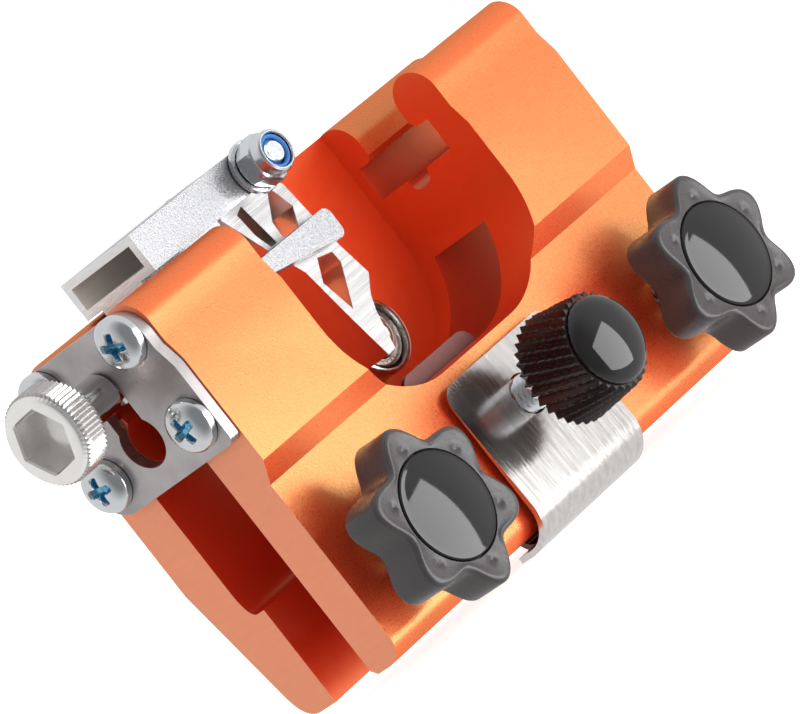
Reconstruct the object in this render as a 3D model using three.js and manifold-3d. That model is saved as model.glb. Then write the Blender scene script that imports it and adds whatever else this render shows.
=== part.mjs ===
// Chainsaw sharpening jig: an anodised aluminium extrusion that clamps on a guide bar,
// with a sliding carriage, a swinging tooth stop, two star clamp knobs and a depth clip.
// Millimetres, +Z up. The extrusion runs along X and its knobs stand out of the -Y side.
import * as THREE from 'three';
import { mergeVertices } from 'three/addons/utils/BufferGeometryUtils.js';
import Module from 'manifold-3d';

// Extruded body
const BODY_LENGTH = 100;
const BODY_WIDTH = 29;
const BODY_HEIGHT = 62.4;
const RAIL_RADIUS = 4.3; // the two round rails along the top edges
const RAIL_INSET = 0.8; // rail side, in from the wall face
const RAIL_HEIGHT = 7.4; // top of the body down to the rail's underside
const RAIL_LIP = 0.9; // chamfer under each rail's inner edge
const SHOULDER_DROP = 7.8; // top of the body down to the outer shoulder
const SHOULDER_HEIGHT = 3.5;
const SLIDE_SLOT_WIDTH = 17;
const SLIDE_SLOT_HEIGHT = 5.6;
const WEB_THICKNESS = 11.3; // solid web between the slide slot and the chain channel
const SLOT_GROOVE_RADIUS = 2.35; // round groove along the slide slot's floor
const STONE_BORE = 7.8; // the grinding stone's bore, through the left end of the web
const STONE_BORE_DROP = 4.3; // bore axis below the slide slot's floor
const LEG_STEP_DEPTH = 1.9; // the front leg's face, in from the wall face
const LEG_STEP_HEIGHT = 3.4; // slanted step over the front leg
const LEG_TOP = 30; // top of the front leg's flat face
const LEG_CORNER = 3.5; // round outer corner at the front leg's foot
const FRONT_LEG_THICKNESS = 7.1;
const BAR_SLOT_WIDTH = 9.2;
const BAR_SLOT_DEPTH = 16.3;
const CHANNEL_WIDTH = 12.4; // chain channel over the bar slot
const CHANNEL_LEDGE_RISE = 4.7; // hollow corner from the ledge up to the channel's back
const CHANNEL_LEDGE_FLAT = 1.4; // flat of the ledge beside the bar slot
const LEG_CHAMFER = 0.9; // inner edge of the front leg's foot
const BACK_LEAN = 4.1; // how far the back leg's outer face leans in, if it ran on to the foot
const BACK_LEAN_HEIGHT = 24; // where it starts to lean
const BACK_CORNER_HEIGHT = 4.6; // round outer corner at the back leg's foot
const BACK_FOOT_WIDTH = 3.5; // flat foot of the back leg

// Window milled through the front wall, the rails and the web
const WINDOW_WIDTH = 50.4;
const WINDOW_FLOOR = 26;
const WINDOW_CORNER = 16;
const BACK_SKIN = 4; // back wall left behind the window

// Keyhole end plate and its four pan-head screws
const PLATE_THICKNESS = 2;
const PLATE_MARGIN = 5.4; // plate's low edge under the low screws' axes
const PLATE_TOP_GAP = 0.5; // plate top below the body's top
const PLATE_CORNER = 5;
const PLATE_FOOT_CORNER = 1.2; // sharper corner at the plate's front foot
const PLATE_NOTCH = 0.9; // waist under the top corners, beside the shoulder
const SCREW_HEAD_RADIUS = 4;
const SCREW_HEAD_HEIGHT = 2.5;
const SCREW_RADIUS = 2;
const SCREW_LENGTH = 9;
const SCREW_RECESS_WIDTH = 1.1;
const SCREW_RECESS_SPAN = 4.2;
const SCREW_RECESS_DEPTH = 1.5;
const LOW_SCREW_INSET = 4.2; // low screws' axes, in from the wall face
const LOW_SCREW_DROP = 19.2; // low screws' axes below the body's top

// Feed screw: knurled head with a hexagon socket
const FEED_DROP = 8.6; // feed screw's axis below the body's top
const FEED_HEAD_RADIUS = 7.2;
const FEED_HEAD_LENGTH = 5.6;
const FEED_HEAD_STANDOFF = 9.1; // head's back face to the plate
const FEED_RADIUS = 3.2;
const FEED_NECK_RADIUS = 2.5;
const FEED_NECK_LENGTH = 2.6;
const FEED_COLLAR_LENGTH = 2.6;
const FEED_THREAD_RADIUS = 2.4;
const FEED_THREAD_END = 24; // how far the thread reaches past the plate
const FEED_SOCKET_CORNER = 5;
const FEED_SOCKET_DEPTH = 4.2;
const FEED_SOCKET_TURN = THREE.MathUtils.degToRad(-5);
const FEED_KNURLS = 40;
const FEED_KNURL_DEPTH = 0.45;
const FEED_RIM = 0.9; // plain chamfered rim at the head's face

// Sliding carriage: a channel over the rails, a neck between them, a foot in the slide slot
const CARRIAGE_START = 12.2; // its left end, from the body's left end
const CARRIAGE_WIDTH = 16.8;
const CARRIAGE_BOX_HEIGHT = 6.2;
const CARRIAGE_WALL = 1.3;
const CARRIAGE_BOX_LENGTH = 32;
const CARRIAGE_NECK_LENGTH = 19.4;
const CARRIAGE_FOOT_LENGTH = 35.3;
const CARRIAGE_FOOT_CORNER = 1.3;

// Tooth stop: a truss-shaped pawl hung on a cross bolt
const PIVOT_FROM_START = 27.6; // pivot axis, from the carriage's left end
const PIVOT_OVER_RAILS = 3; // pivot axis above the body's top
const PAWL_WIDTH = 9;
const PAWL_EYE_RADIUS = 3.5;
const PAWL_REACH = 33; // pivot axis down to the pawl's tip
const PAWL_SPAN = 14.6; // width of the pawl's head
const PAWL_CLEARANCE = 0.4; // each side, between the pawl and the carriage

// Cross bolt, washers and lock nut
const BOLT_RADIUS = 2;
const BOLT_HEAD_RADIUS = 3.6;
const BOLT_HEAD_HEIGHT = 1.6; // low head, clear of the rail behind it
const BOLT_SOCKET_CORNER = 1.7;
const BOLT_SOCKET_DEPTH = 0.9;
const BOLT_END_INSET = 0.4; // bolt end below the nut's face
const WASHER_RADIUS = 4.2;
const WASHER_THICKNESS = 0.9;
const NUT_CORNER_RADIUS = 4;
const NUT_HEX_HEIGHT = 3.3;
const NUT_COLLAR_RADIUS = 3.35;
const NUT_COLLAR_HEIGHT = 1.8;
const NUT_RING_OUTER = 2.95;
const NUT_RING_HEIGHT = 1.2;
const NUT_LIP = 0.4; // collar rolled over the nylon ring

// Guide bearing on the back wall
const BEARING_X = 4.6;
const BEARING_CLEARANCE = 2.8; // under the bearing, over the window's floor
const BEARING_RADIUS = 6;
const BEARING_WIDTH = 4;
const BEARING_OUTER_WALL = 1.1;
const BEARING_INNER_RADIUS = 3.3;
const BEARING_SHIELD_INSET = 0.6;
const BEARING_PIN_RADIUS = 2;
const BEARING_PIN_CAP = 2.6;
const BEARING_PIN_CAP_HEIGHT = 0.6;

// Star clamp knobs
const CLAMP_SPACING = 77.8; // between the two clamp screws
const CLAMP_HEIGHT = 13;
const CLAMP_STUD_RADIUS = 3;
const CLAMP_TIP_REACH = 0.8; // stud tip past the front leg's inner face
const STAR_LOBES = 6;
const STAR_RADIUS = 13.3;
const STAR_VALLEY = 10;
const STAR_HEIGHT = 7.4;
const STAR_HUB_RADIUS = 6.5; // round hub behind the star
const STAR_HUB_HEIGHT = 3.4;
const STAR_STANDOFF = 3; // hub's back face to the front leg
const STAR_BEVEL = 0.9;
const STAR_CAP_RADIUS = 8.4;
const STAR_CAP_DEPTH = 1.6;
const STAR_CAP_CROWN = 1.1;
const LEFT_STAR_TURN = THREE.MathUtils.degToRad(32);
const RIGHT_STAR_TURN = THREE.MathUtils.degToRad(19);

// Knurled depth knob
const DEPTH_HEIGHT = 16;
const DEPTH_STUD_RADIUS = 3;
const DEPTH_KNOB_STANDOFF = 7.6; // knob's back face to the clip
const DEPTH_KNOB_RADIUS = 8.8;
const DEPTH_FACE_RADIUS = 7.8; // the knob narrows to this at its front face
const DEPTH_KNOB_HEIGHT = 9.8;
const DEPTH_KNURLS = 32;
const DEPTH_KNURL_DEPTH = 0.8;
const DEPTH_CAP_RADIUS = 7.05;
const DEPTH_CAP_CROWN = 3.1;
const DEPTH_SPIGOT_RADIUS = 4.8; // the cap's spigot, pressed into the knob's face
const DEPTH_SPIGOT_LENGTH = 2;

// Spring clip hooked round the front leg's foot
const CLIP_WIDTH = 28;
const CLIP_INNER_WIDTH = 18.6;
const CLIP_THICKNESS = 0.9;
const CLIP_TOP = 24.2;
const CLIP_INNER_TOP = 28.5;
const CLIP_CLEARANCE = 1.5; // the sprung strip stands off the leg's face and foot
const CLIP_INNER_CLEARANCE = 1.2; // and off the leg's inner face
const CLIP_INNER_BEND = 2.1; // inside radius of the bend up to the inner leg
const CLIP_CORNER = 3;

// Fits
const SEAT_GAP = 0.2; // between flat faces that rest on each other
const FIT_GAP = 0.3; // round a shank, a foot or a cap
const OVERRUN = 5; // how far a cutting tool passes the faces it cuts
const ROUND_STEPS = 32;
const SMALL_STEPS = 24;
const FINE_STEPS = 36;
const ARC_STEPS = 8;
const HEX_SIDES = 6;

// Levels and faces worked out from the sizes above
const HALF_LENGTH = BODY_LENGTH / 2;
const HALF_WIDTH = BODY_WIDTH / 2;
const RAIL_OUT = HALF_WIDTH - RAIL_INSET;
const RAIL_CENTRE = RAIL_OUT - RAIL_RADIUS;
const RAIL_IN = RAIL_CENTRE - RAIL_RADIUS;
const RAIL_UNDERSIDE = BODY_HEIGHT - RAIL_HEIGHT;
const RAIL_AXIS = BODY_HEIGHT - RAIL_RADIUS;
const SLIDE_FLOOR = RAIL_UNDERSIDE - SLIDE_SLOT_HEIGHT;
const CHANNEL_CEILING = SLIDE_FLOOR - WEB_THICKNESS;
const STONE_AXIS = SLIDE_FLOOR - STONE_BORE_DROP;
const LEG_FACE = -HALF_WIDTH + LEG_STEP_DEPTH;
const LEG_INSIDE = LEG_FACE + FRONT_LEG_THICKNESS;
const BAR_SLOT_BACK = LEG_INSIDE + BAR_SLOT_WIDTH;
const CHANNEL_BACK = LEG_INSIDE + CHANNEL_WIDTH;
const SHOULDER_TOP = BODY_HEIGHT - SHOULDER_DROP;
const SHOULDER_FOOT = SHOULDER_TOP - SHOULDER_HEIGHT;
const POCKET_BACK = HALF_WIDTH - BACK_SKIN;
const PLATE_TOP = BODY_HEIGHT - PLATE_TOP_GAP;
const LOW_SCREW_HEIGHT = BODY_HEIGHT - LOW_SCREW_DROP;
const PLATE_LOW_EDGE = LOW_SCREW_HEIGHT - PLATE_MARGIN;
const FEED_HEIGHT = BODY_HEIGHT - FEED_DROP;
const BEARING_HEIGHT = WINDOW_FLOOR + BEARING_CLEARANCE + BEARING_RADIUS;
const PLATE_INSIDE = -HALF_LENGTH - SEAT_GAP;
const PLATE_FACE = PLATE_INSIDE - PLATE_THICKNESS;
const LOW_SCREW_OUT = HALF_WIDTH - LOW_SCREW_INSET;
const CARRIAGE_LEFT = -HALF_LENGTH + CARRIAGE_START;
const PIVOT_X = CARRIAGE_LEFT + PIVOT_FROM_START;
const PIVOT_HEIGHT = BODY_HEIGHT + PIVOT_OVER_RAILS;
const CARRIAGE_SIDE = CARRIAGE_WIDTH / 2;
const CLAMP_X = CLAMP_SPACING / 2;
const CLIP_BACK = LEG_FACE - CLIP_CLEARANCE;
const CLIP_FACE = CLIP_BACK - CLIP_THICKNESS;
const CLIP_INNER_FACE = LEG_INSIDE + CLIP_INNER_CLEARANCE;

// Materials
const ANODISED = { color: 0xe8622c, roughness: 0.42, metalness: 0.6 };
const BRIGHT_STEEL = { color: 0xc9cbcd, roughness: 0.28, metalness: 1 };
const ZINC = { color: 0xb9c1c6, roughness: 0.35, metalness: 1 };
const CUT_ALUMINIUM = { color: 0xd6d6d4, roughness: 0.45, metalness: 1 };
const BRUSHED_STAINLESS = { color: 0xb7b1ad, roughness: 0.38, metalness: 1 };
const BLACK_PLASTIC = { color: 0x2a2b2c, roughness: 0.5, metalness: 0 };
const GLOSS_BLACK = { color: 0x151516, roughness: 0.12, metalness: 0 };
const BLUE_NYLON = { color: 0x2f62a8, roughness: 0.5, metalness: 0 };

const wasm = await Module();
wasm.setup();

// A closed geometry as a manifold-3d solid
function solid(geometry) {
  const bare = geometry.clone();
  bare.deleteAttribute('normal');
  bare.deleteAttribute('uv');
  const merged = mergeVertices(bare);
  return new wasm.Manifold(new wasm.Mesh({
    numProp: 3,
    vertProperties: new Float32Array(merged.attributes.position.array),
    triVerts: new Uint32Array(merged.index.array),
  }));
}

// A manifold-3d solid as a geometry
function geometryOf(body) {
  const mesh = body.getMesh();
  const geometry = new THREE.BufferGeometry();
  geometry.setAttribute('position', new THREE.BufferAttribute(mesh.vertProperties, 3));
  geometry.setIndex(new THREE.BufferAttribute(mesh.triVerts, 1));
  const faceted = geometry.toNonIndexed();
  faceted.computeVertexNormals();
  return faceted;
}

function cut(base, tools) {
  return geometryOf(tools.reduce((body, tool) => body.subtract(solid(tool)), solid(base)));
}

function join(pieces) {
  return geometryOf(pieces.slice(1).reduce((body, piece) => body.add(solid(piece)), solid(pieces[0])));
}

const AXIS = { x: new THREE.Vector3(1, 0, 0), y: new THREE.Vector3(0, 1, 0), z: new THREE.Vector3(0, 0, 1) };

// An outline drawn in (y, z), extruded along X from one place to another
function alongX(outline, from, to, extra = {}) {
  const options = { depth: to - from, bevelEnabled: false, curveSegments: ARC_STEPS, ...extra };
  const geometry = new THREE.ExtrudeGeometry(outline, options);
  geometry.applyMatrix4(new THREE.Matrix4().makeBasis(AXIS.y, AXIS.z, AXIS.x));
  return geometry.translate(from, 0, 0);
}

// An outline drawn in (x, z), extruded along Y from one place to another
function alongY(outline, from, to, extra = {}) {
  const options = { depth: to - from, bevelEnabled: false, curveSegments: ARC_STEPS, ...extra };
  const geometry = new THREE.ExtrudeGeometry(outline, options);
  geometry.applyMatrix4(new THREE.Matrix4().makeBasis(AXIS.x, AXIS.z, AXIS.y.clone().negate()));
  return geometry.translate(0, to, 0);
}

// A box from its lowest to its highest corner
function block(low, high) {
  const size = high.map((value, axis) => value - low[axis]);
  const centre = high.map((value, axis) => (value + low[axis]) / 2);
  return new THREE.BoxGeometry(...size).translate(...centre);
}

// A round rod along X, centred on (y, z)
function rodX(radius, from, to, y, z, steps = ROUND_STEPS) {
  const rod = new THREE.CylinderGeometry(radius, radius, to - from, steps).rotateZ(Math.PI / 2);
  return rod.translate((from + to) / 2, y, z);
}

// A round rod along Y, centred on (x, z)
function rodY(radius, from, to, x, z, steps = ROUND_STEPS) {
  return new THREE.CylinderGeometry(radius, radius, to - from, steps).translate(x, (from + to) / 2, z);
}

// A turned profile of [radius, height] pairs: its axis points along -Y, from a base at y
function turnedForward(profile, x, y, z, steps = FINE_STEPS) {
  const points = profile.map(([radius, height]) => new THREE.Vector2(radius, height));
  return new THREE.LatheGeometry(points, steps).rotateX(Math.PI).translate(x, y, z);
}

// The same, with its axis along -X
function turnedLeft(profile, x, y, z, steps = FINE_STEPS) {
  const points = profile.map(([radius, height]) => new THREE.Vector2(radius, height));
  return new THREE.LatheGeometry(points, steps).rotateZ(Math.PI / 2).translate(x, y, z);
}

// Points of a shallow round crown, from its rim to its top on the axis
function crown(radius, base, height, steps = ARC_STEPS / 2) {
  const curve = Array.from({ length: steps }, (_, step) => {
    const angle = (step / steps) * (Math.PI / 2);
    return [radius * Math.cos(angle), base + height * Math.sin(angle)];
  });
  return [...curve, [0, base + height]];
}

// A regular polygon with its corners at a radius, centred on (u, v)
function polygon(corners, radius, u, v, turn = 0) {
  const points = Array.from({ length: corners }, (_, corner) => {
    const angle = turn + (corner / corners) * 2 * Math.PI;
    return new THREE.Vector2(u + radius * Math.cos(angle), v + radius * Math.sin(angle));
  });
  return new THREE.Shape(points);
}

// A toothed circle, for knurls
function toothed(teeth, radius, depth, u, v) {
  const points = Array.from({ length: teeth * 2 }, (_, step) => {
    const reach = step % 2 === 0 ? radius : radius - depth;
    const angle = (step / (teeth * 2)) * 2 * Math.PI;
    return new THREE.Vector2(u + reach * Math.cos(angle), v + reach * Math.sin(angle));
  });
  return new THREE.Shape(points);
}

// A rectangle with round corners, in its outline's own plane
function roundedRectangle(left, right, low, high, radius) {
  const shape = new THREE.Shape();
  shape.absarc(right - radius, low + radius, radius, -Math.PI / 2, 0);
  shape.absarc(right - radius, high - radius, radius, 0, Math.PI / 2);
  shape.absarc(left + radius, high - radius, radius, Math.PI / 2, Math.PI);
  shape.absarc(left + radius, low + radius, radius, Math.PI, 1.5 * Math.PI);
  return shape;
}

// The extrusion's section, in (y, z): two rails, the slide slot, the web and the two legs
function bodySection() {
  const ledgeEnd = BAR_SLOT_BACK + CHANNEL_LEDGE_FLAT;
  const backFoot = HALF_WIDTH - BACK_LEAN;
  const backCorner = backFoot + (BACK_LEAN * BACK_CORNER_HEIGHT) / BACK_LEAN_HEIGHT;
  const section = new THREE.Shape();
  section.moveTo(LEG_INSIDE, LEG_CHAMFER);
  section.lineTo(LEG_INSIDE, CHANNEL_CEILING);
  section.lineTo(CHANNEL_BACK, CHANNEL_CEILING);
  section.lineTo(CHANNEL_BACK, BAR_SLOT_DEPTH + CHANNEL_LEDGE_RISE);
  section.quadraticCurveTo(CHANNEL_BACK, BAR_SLOT_DEPTH, ledgeEnd, BAR_SLOT_DEPTH);
  section.lineTo(BAR_SLOT_BACK, BAR_SLOT_DEPTH);
  section.lineTo(BAR_SLOT_BACK, 0);
  section.lineTo(BAR_SLOT_BACK + BACK_FOOT_WIDTH, 0);
  section.quadraticCurveTo(backFoot, 0, backCorner, BACK_CORNER_HEIGHT);
  section.lineTo(HALF_WIDTH, BACK_LEAN_HEIGHT);
  section.lineTo(HALF_WIDTH, SHOULDER_FOOT);
  section.lineTo(RAIL_OUT, SHOULDER_TOP);
  section.absarc(RAIL_CENTRE, RAIL_AXIS, RAIL_RADIUS, 0, Math.PI);
  section.lineTo(RAIL_IN, RAIL_UNDERSIDE + RAIL_LIP);
  section.lineTo(RAIL_IN + RAIL_LIP, RAIL_UNDERSIDE);
  section.lineTo(SLIDE_SLOT_WIDTH / 2, RAIL_UNDERSIDE);
  section.lineTo(SLIDE_SLOT_WIDTH / 2, SLIDE_FLOOR);
  section.absarc(0, SLIDE_FLOOR, SLOT_GROOVE_RADIUS, 0, Math.PI, true);
  section.lineTo(-SLIDE_SLOT_WIDTH / 2, SLIDE_FLOOR);
  section.lineTo(-SLIDE_SLOT_WIDTH / 2, RAIL_UNDERSIDE);
  section.lineTo(-RAIL_IN - RAIL_LIP, RAIL_UNDERSIDE);
  section.lineTo(-RAIL_IN, RAIL_UNDERSIDE + RAIL_LIP);
  section.absarc(-RAIL_CENTRE, RAIL_AXIS, RAIL_RADIUS, 0, Math.PI);
  section.lineTo(-RAIL_OUT, SHOULDER_TOP);
  section.lineTo(-HALF_WIDTH, SHOULDER_FOOT);
  section.lineTo(-HALF_WIDTH, LEG_TOP + LEG_STEP_HEIGHT);
  section.lineTo(LEG_FACE, LEG_TOP);
  section.absarc(LEG_FACE + LEG_CORNER, LEG_CORNER, LEG_CORNER, Math.PI, 1.5 * Math.PI);
  section.lineTo(LEG_INSIDE - LEG_CHAMFER, 0);
  return section;
}

// The window's outline, in (x, z): straight sides and large round lower corners
function windowOutline() {
  const half = WINDOW_WIDTH / 2;
  const cornerHeight = WINDOW_FLOOR + WINDOW_CORNER;
  const top = BODY_HEIGHT + OVERRUN;
  const outline = new THREE.Shape();
  outline.moveTo(half, top);
  outline.lineTo(-half, top);
  outline.absarc(-half + WINDOW_CORNER, cornerHeight, WINDOW_CORNER, Math.PI, 1.5 * Math.PI);
  outline.absarc(half - WINDOW_CORNER, cornerHeight, WINDOW_CORNER, -Math.PI / 2, 0);
  return outline;
}

// Places of the four end-plate screws, as (y, z)
const PLATE_SCREWS = [
  [-RAIL_CENTRE, RAIL_AXIS],
  [RAIL_CENTRE, RAIL_AXIS],
  [-LOW_SCREW_OUT, LOW_SCREW_HEIGHT],
  [LOW_SCREW_OUT, LOW_SCREW_HEIGHT],
];

function extrudedBody() {
  const fine = { curveSegments: ARC_STEPS * 2 };
  const bar = alongX(bodySection(), -HALF_LENGTH, HALF_LENGTH, fine);
  const window = alongY(windowOutline(), -HALF_WIDTH - OVERRUN, POCKET_BACK, fine);
  const bore = rodX(STONE_BORE / 2, -HALF_LENGTH - OVERRUN, 0, 0, STONE_AXIS);
  const hole = SCREW_RADIUS + FIT_GAP;
  const screwHoles = PLATE_SCREWS.map(([y, z]) => (
    rodX(hole, -HALF_LENGTH - OVERRUN, -HALF_LENGTH + SCREW_LENGTH, y, z, SMALL_STEPS)
  ));
  const front = -HALF_WIDTH - OVERRUN;
  const studHoles = [-CLAMP_X, CLAMP_X].map((x) => (
    rodY(CLAMP_STUD_RADIUS + FIT_GAP, front, LEG_INSIDE + FIT_GAP, x, CLAMP_HEIGHT)
  ));
  const depthHole = rodY(DEPTH_STUD_RADIUS + FIT_GAP, front, LEG_INSIDE + FIT_GAP, 0, DEPTH_HEIGHT);
  const pinHole = rodY(BEARING_PIN_RADIUS + FIT_GAP, 0, HALF_WIDTH + OVERRUN, BEARING_X, BEARING_HEIGHT);
  return cut(bar, [window, bore, ...screwHoles, ...studHoles, depthHole, pinHole]);
}

// The plate's outline, in (y, z): round top corners, a waist beside the shoulder, a sharper front foot
function plateOutline() {
  const side = HALF_WIDTH - SEAT_GAP;
  const outline = new THREE.Shape();
  outline.absarc(side - PLATE_CORNER, PLATE_LOW_EDGE + PLATE_CORNER, PLATE_CORNER, -Math.PI / 2, 0);
  outline.lineTo(side, SHOULDER_FOOT);
  outline.lineTo(side - PLATE_NOTCH, SHOULDER_TOP);
  const topCentre = side - PLATE_NOTCH - PLATE_CORNER;
  outline.absarc(topCentre, PLATE_TOP - PLATE_CORNER, PLATE_CORNER, 0, Math.PI / 2);
  outline.absarc(-topCentre, PLATE_TOP - PLATE_CORNER, PLATE_CORNER, Math.PI / 2, Math.PI);
  outline.lineTo(-side + PLATE_NOTCH, SHOULDER_TOP);
  outline.lineTo(-side, SHOULDER_FOOT);
  outline.absarc(-side + PLATE_FOOT_CORNER, PLATE_LOW_EDGE + PLATE_FOOT_CORNER, PLATE_FOOT_CORNER,
    Math.PI, 1.5 * Math.PI);
  return outline;
}

// End plate with a keyhole: the round end passes the stone's shaft, the slot holds the feed screw
function endPlate() {
  const sheet = alongX(plateOutline(), PLATE_FACE, PLATE_INSIDE);
  const from = PLATE_FACE - OVERRUN;
  const to = PLATE_INSIDE + OVERRUN;
  const slotHalf = FEED_NECK_RADIUS + FIT_GAP;
  const tools = [
    rodX(STONE_BORE / 2, from, to, 0, STONE_AXIS),
    rodX(slotHalf, from, to, 0, FEED_HEIGHT),
    block([from, -slotHalf, STONE_AXIS], [to, slotHalf, FEED_HEIGHT]),
    ...PLATE_SCREWS.map(([y, z]) => rodX(SCREW_RADIUS + FIT_GAP, from, to, y, z, SMALL_STEPS)),
  ];
  return cut(sheet, tools);
}

// A pan-head screw with a cross recess, its head on the plate
function plateScrew(y, z) {
  const seat = PLATE_FACE - SEAT_GAP;
  const shank = PLATE_INSIDE - seat + SCREW_LENGTH - FIT_GAP - SEAT_GAP;
  const rim = SCREW_HEAD_HEIGHT / 3;
  const profile = [[0, -shank], [SCREW_RADIUS, -shank], [SCREW_RADIUS, 0], [SCREW_HEAD_RADIUS, 0],
    ...crown(SCREW_HEAD_RADIUS, rim, SCREW_HEAD_HEIGHT - rim)];
  profile[profile.length - 1][0] = 0;
  const screw = turnedLeft(profile, seat, y, z, SMALL_STEPS);
  const halfSpan = SCREW_RECESS_SPAN / 2;
  const halfSlot = SCREW_RECESS_WIDTH / 2;
  const floor = seat - SCREW_HEAD_HEIGHT + SCREW_RECESS_DEPTH;
  const top = seat - SCREW_HEAD_HEIGHT - OVERRUN;
  return cut(screw, [
    block([top, y - halfSpan, z - halfSlot], [floor, y + halfSpan, z + halfSlot]),
    block([top, y - halfSlot, z - halfSpan], [floor, y + halfSlot, z + halfSpan]),
  ]);
}

// Feed screw: knurled socket head, shank, neck held by the keyhole slot, collar and thread
function feedScrew() {
  const back = PLATE_FACE - FEED_HEAD_STANDOFF;
  const face = back - FEED_HEAD_LENGTH;
  const knurl = toothed(FEED_KNURLS, FEED_HEAD_RADIUS, FEED_KNURL_DEPTH, 0, FEED_HEIGHT);
  const rimRadius = FEED_HEAD_RADIUS - FEED_KNURL_DEPTH;
  const neckStart = (PLATE_FACE + PLATE_INSIDE - FEED_NECK_LENGTH) / 2;
  const collarStart = neckStart + FEED_NECK_LENGTH;
  const collarEnd = collarStart + FEED_COLLAR_LENGTH;
  const body = join([
    alongX(knurl, face + FEED_RIM, back),
    rodX(rimRadius, face, back, 0, FEED_HEIGHT, FINE_STEPS),
    rodX(FEED_RADIUS, back - FEED_RIM, neckStart, 0, FEED_HEIGHT),
    rodX(FEED_NECK_RADIUS, neckStart - FEED_RIM, collarStart + FEED_RIM, 0, FEED_HEIGHT),
    rodX(FEED_RADIUS, collarStart, collarEnd, 0, FEED_HEIGHT),
    rodX(FEED_THREAD_RADIUS, collarStart, PLATE_INSIDE + FEED_THREAD_END, 0, FEED_HEIGHT),
  ]);
  const socket = polygon(HEX_SIDES, FEED_SOCKET_CORNER, 0, FEED_HEIGHT, FEED_SOCKET_TURN);
  return cut(body, [alongX(socket, face - OVERRUN, face + FEED_SOCKET_DEPTH)]);
}

// Carriage: one extruded section, milled away where the tooth stop swings
function slidingCarriage() {
  const side = CARRIAGE_SIDE;
  const low = BODY_HEIGHT + FIT_GAP;
  const top = low + CARRIAGE_BOX_HEIGHT;
  const neckHalf = RAIL_IN - FIT_GAP;
  const footTop = RAIL_UNDERSIDE - FIT_GAP;
  const footLow = SLIDE_FLOOR + FIT_GAP;
  const boxEnd = CARRIAGE_LEFT + CARRIAGE_BOX_LENGTH;
  const neckEnd = CARRIAGE_LEFT + CARRIAGE_NECK_LENGTH;
  const footEnd = CARRIAGE_LEFT + CARRIAGE_FOOT_LENGTH;
  const channel = block([CARRIAGE_LEFT, -side, low], [boxEnd, side, top]);
  const neck = block([CARRIAGE_LEFT, -neckHalf, footLow], [neckEnd, neckHalf, low + CARRIAGE_WALL]);
  const foot = new THREE.Shape();
  foot.moveTo(CARRIAGE_LEFT, footLow);
  const corner = CARRIAGE_FOOT_CORNER;
  foot.absarc(footEnd - corner, footLow + corner, corner, -Math.PI / 2, 0);
  foot.absarc(footEnd - corner, footTop - corner, corner, 0, Math.PI / 2);
  foot.lineTo(CARRIAGE_LEFT, footTop);
  const footHalf = SLIDE_SLOT_WIDTH / 2 - FIT_GAP;
  const section = join([channel, neck, alongY(foot, -footHalf, footHalf)]);
  const start = CARRIAGE_LEFT - OVERRUN;
  const hollowSide = side - CARRIAGE_WALL;
  const hollowLow = low + CARRIAGE_WALL;
  const hollowTop = top - CARRIAGE_WALL;
  const slitHalf = PAWL_WIDTH / 2 + PAWL_CLEARANCE;
  const eyeLeft = PIVOT_X - PAWL_EYE_RADIUS - PAWL_CLEARANCE;
  return cut(section, [
    block([start, -hollowSide, hollowLow], [boxEnd + OVERRUN, hollowSide, hollowTop]),
    block([neckEnd, -slitHalf, footLow - OVERRUN], [footEnd + OVERRUN, slitHalf, hollowTop]),
    block([eyeLeft, -slitHalf, low - OVERRUN], [boxEnd + OVERRUN, slitHalf, top + OVERRUN]),
    rodX(FEED_THREAD_RADIUS + FIT_GAP, start, neckEnd + OVERRUN, 0, FEED_HEIGHT),
    rodY(BOLT_RADIUS + FIT_GAP, -side - OVERRUN, side + OVERRUN, PIVOT_X, PIVOT_HEIGHT),
  ]);
}

// The tooth stop's outline and cut-outs: shares of its span to the right of the pivot,
// and of its reach below it
const PAWL_OUTLINE_SHARES = [
  [-0.5, 0.09], [-0.24, 0.32], [-0.01, 0.5], [0.1, 0.78], [0.2, 1], [0.33, 0.995],
  [0.44, 0.82], [0.52, 0.75], [0.69, 0.67], [0.6, 0.5], [0.55, 0.32], [0.5, 0.14], [0.24, 0]];
const PAWL_CUTOUT_SHARES = [
  [[0.3, 0.1], [0.42, 0.24], [0.3, 0.33], [0.04, 0.32], [0.05, 0.24]],
  [[-0.16, 0.1], [-0.07, 0.32], [-0.17, 0.32], [-0.25, 0.24], [-0.28, 0.12]],
  [[0.24, 0.48], [0.46, 0.5], [0.47, 0.56], [0.2, 0.75], [0.09, 0.58]]];

function pawlPoints(shares) {
  return shares.map(([across, down]) => (
    new THREE.Vector2(PIVOT_X + across * PAWL_SPAN, PIVOT_HEIGHT - down * PAWL_REACH)
  ));
}

function toothStop() {
  const half = PAWL_WIDTH / 2;
  const outline = new THREE.Shape(pawlPoints(PAWL_OUTLINE_SHARES));
  outline.holes = PAWL_CUTOUT_SHARES.map((shares) => new THREE.Path(pawlPoints(shares)));
  const eye = rodY(PAWL_EYE_RADIUS, -half, half, PIVOT_X, PIVOT_HEIGHT);
  const hole = rodY(BOLT_RADIUS + FIT_GAP, -half - OVERRUN, half + OVERRUN, PIVOT_X, PIVOT_HEIGHT);
  return cut(join([alongY(outline, -half, half), eye]), [hole]);
}

// Faces of the stack on the cross bolt, from the carriage's front side to the nut's face
const FRONT_WASHER_BACK = -CARRIAGE_SIDE - SEAT_GAP;
const FRONT_WASHER_FACE = FRONT_WASHER_BACK - WASHER_THICKNESS;
const NUT_BACK = FRONT_WASHER_FACE - SEAT_GAP;
const NUT_SHOULDER = NUT_BACK - NUT_HEX_HEIGHT;
const NUT_FACE = NUT_SHOULDER - NUT_COLLAR_HEIGHT;
const BOLT_HEAD_SEAT = CARRIAGE_SIDE + SEAT_GAP;

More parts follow.
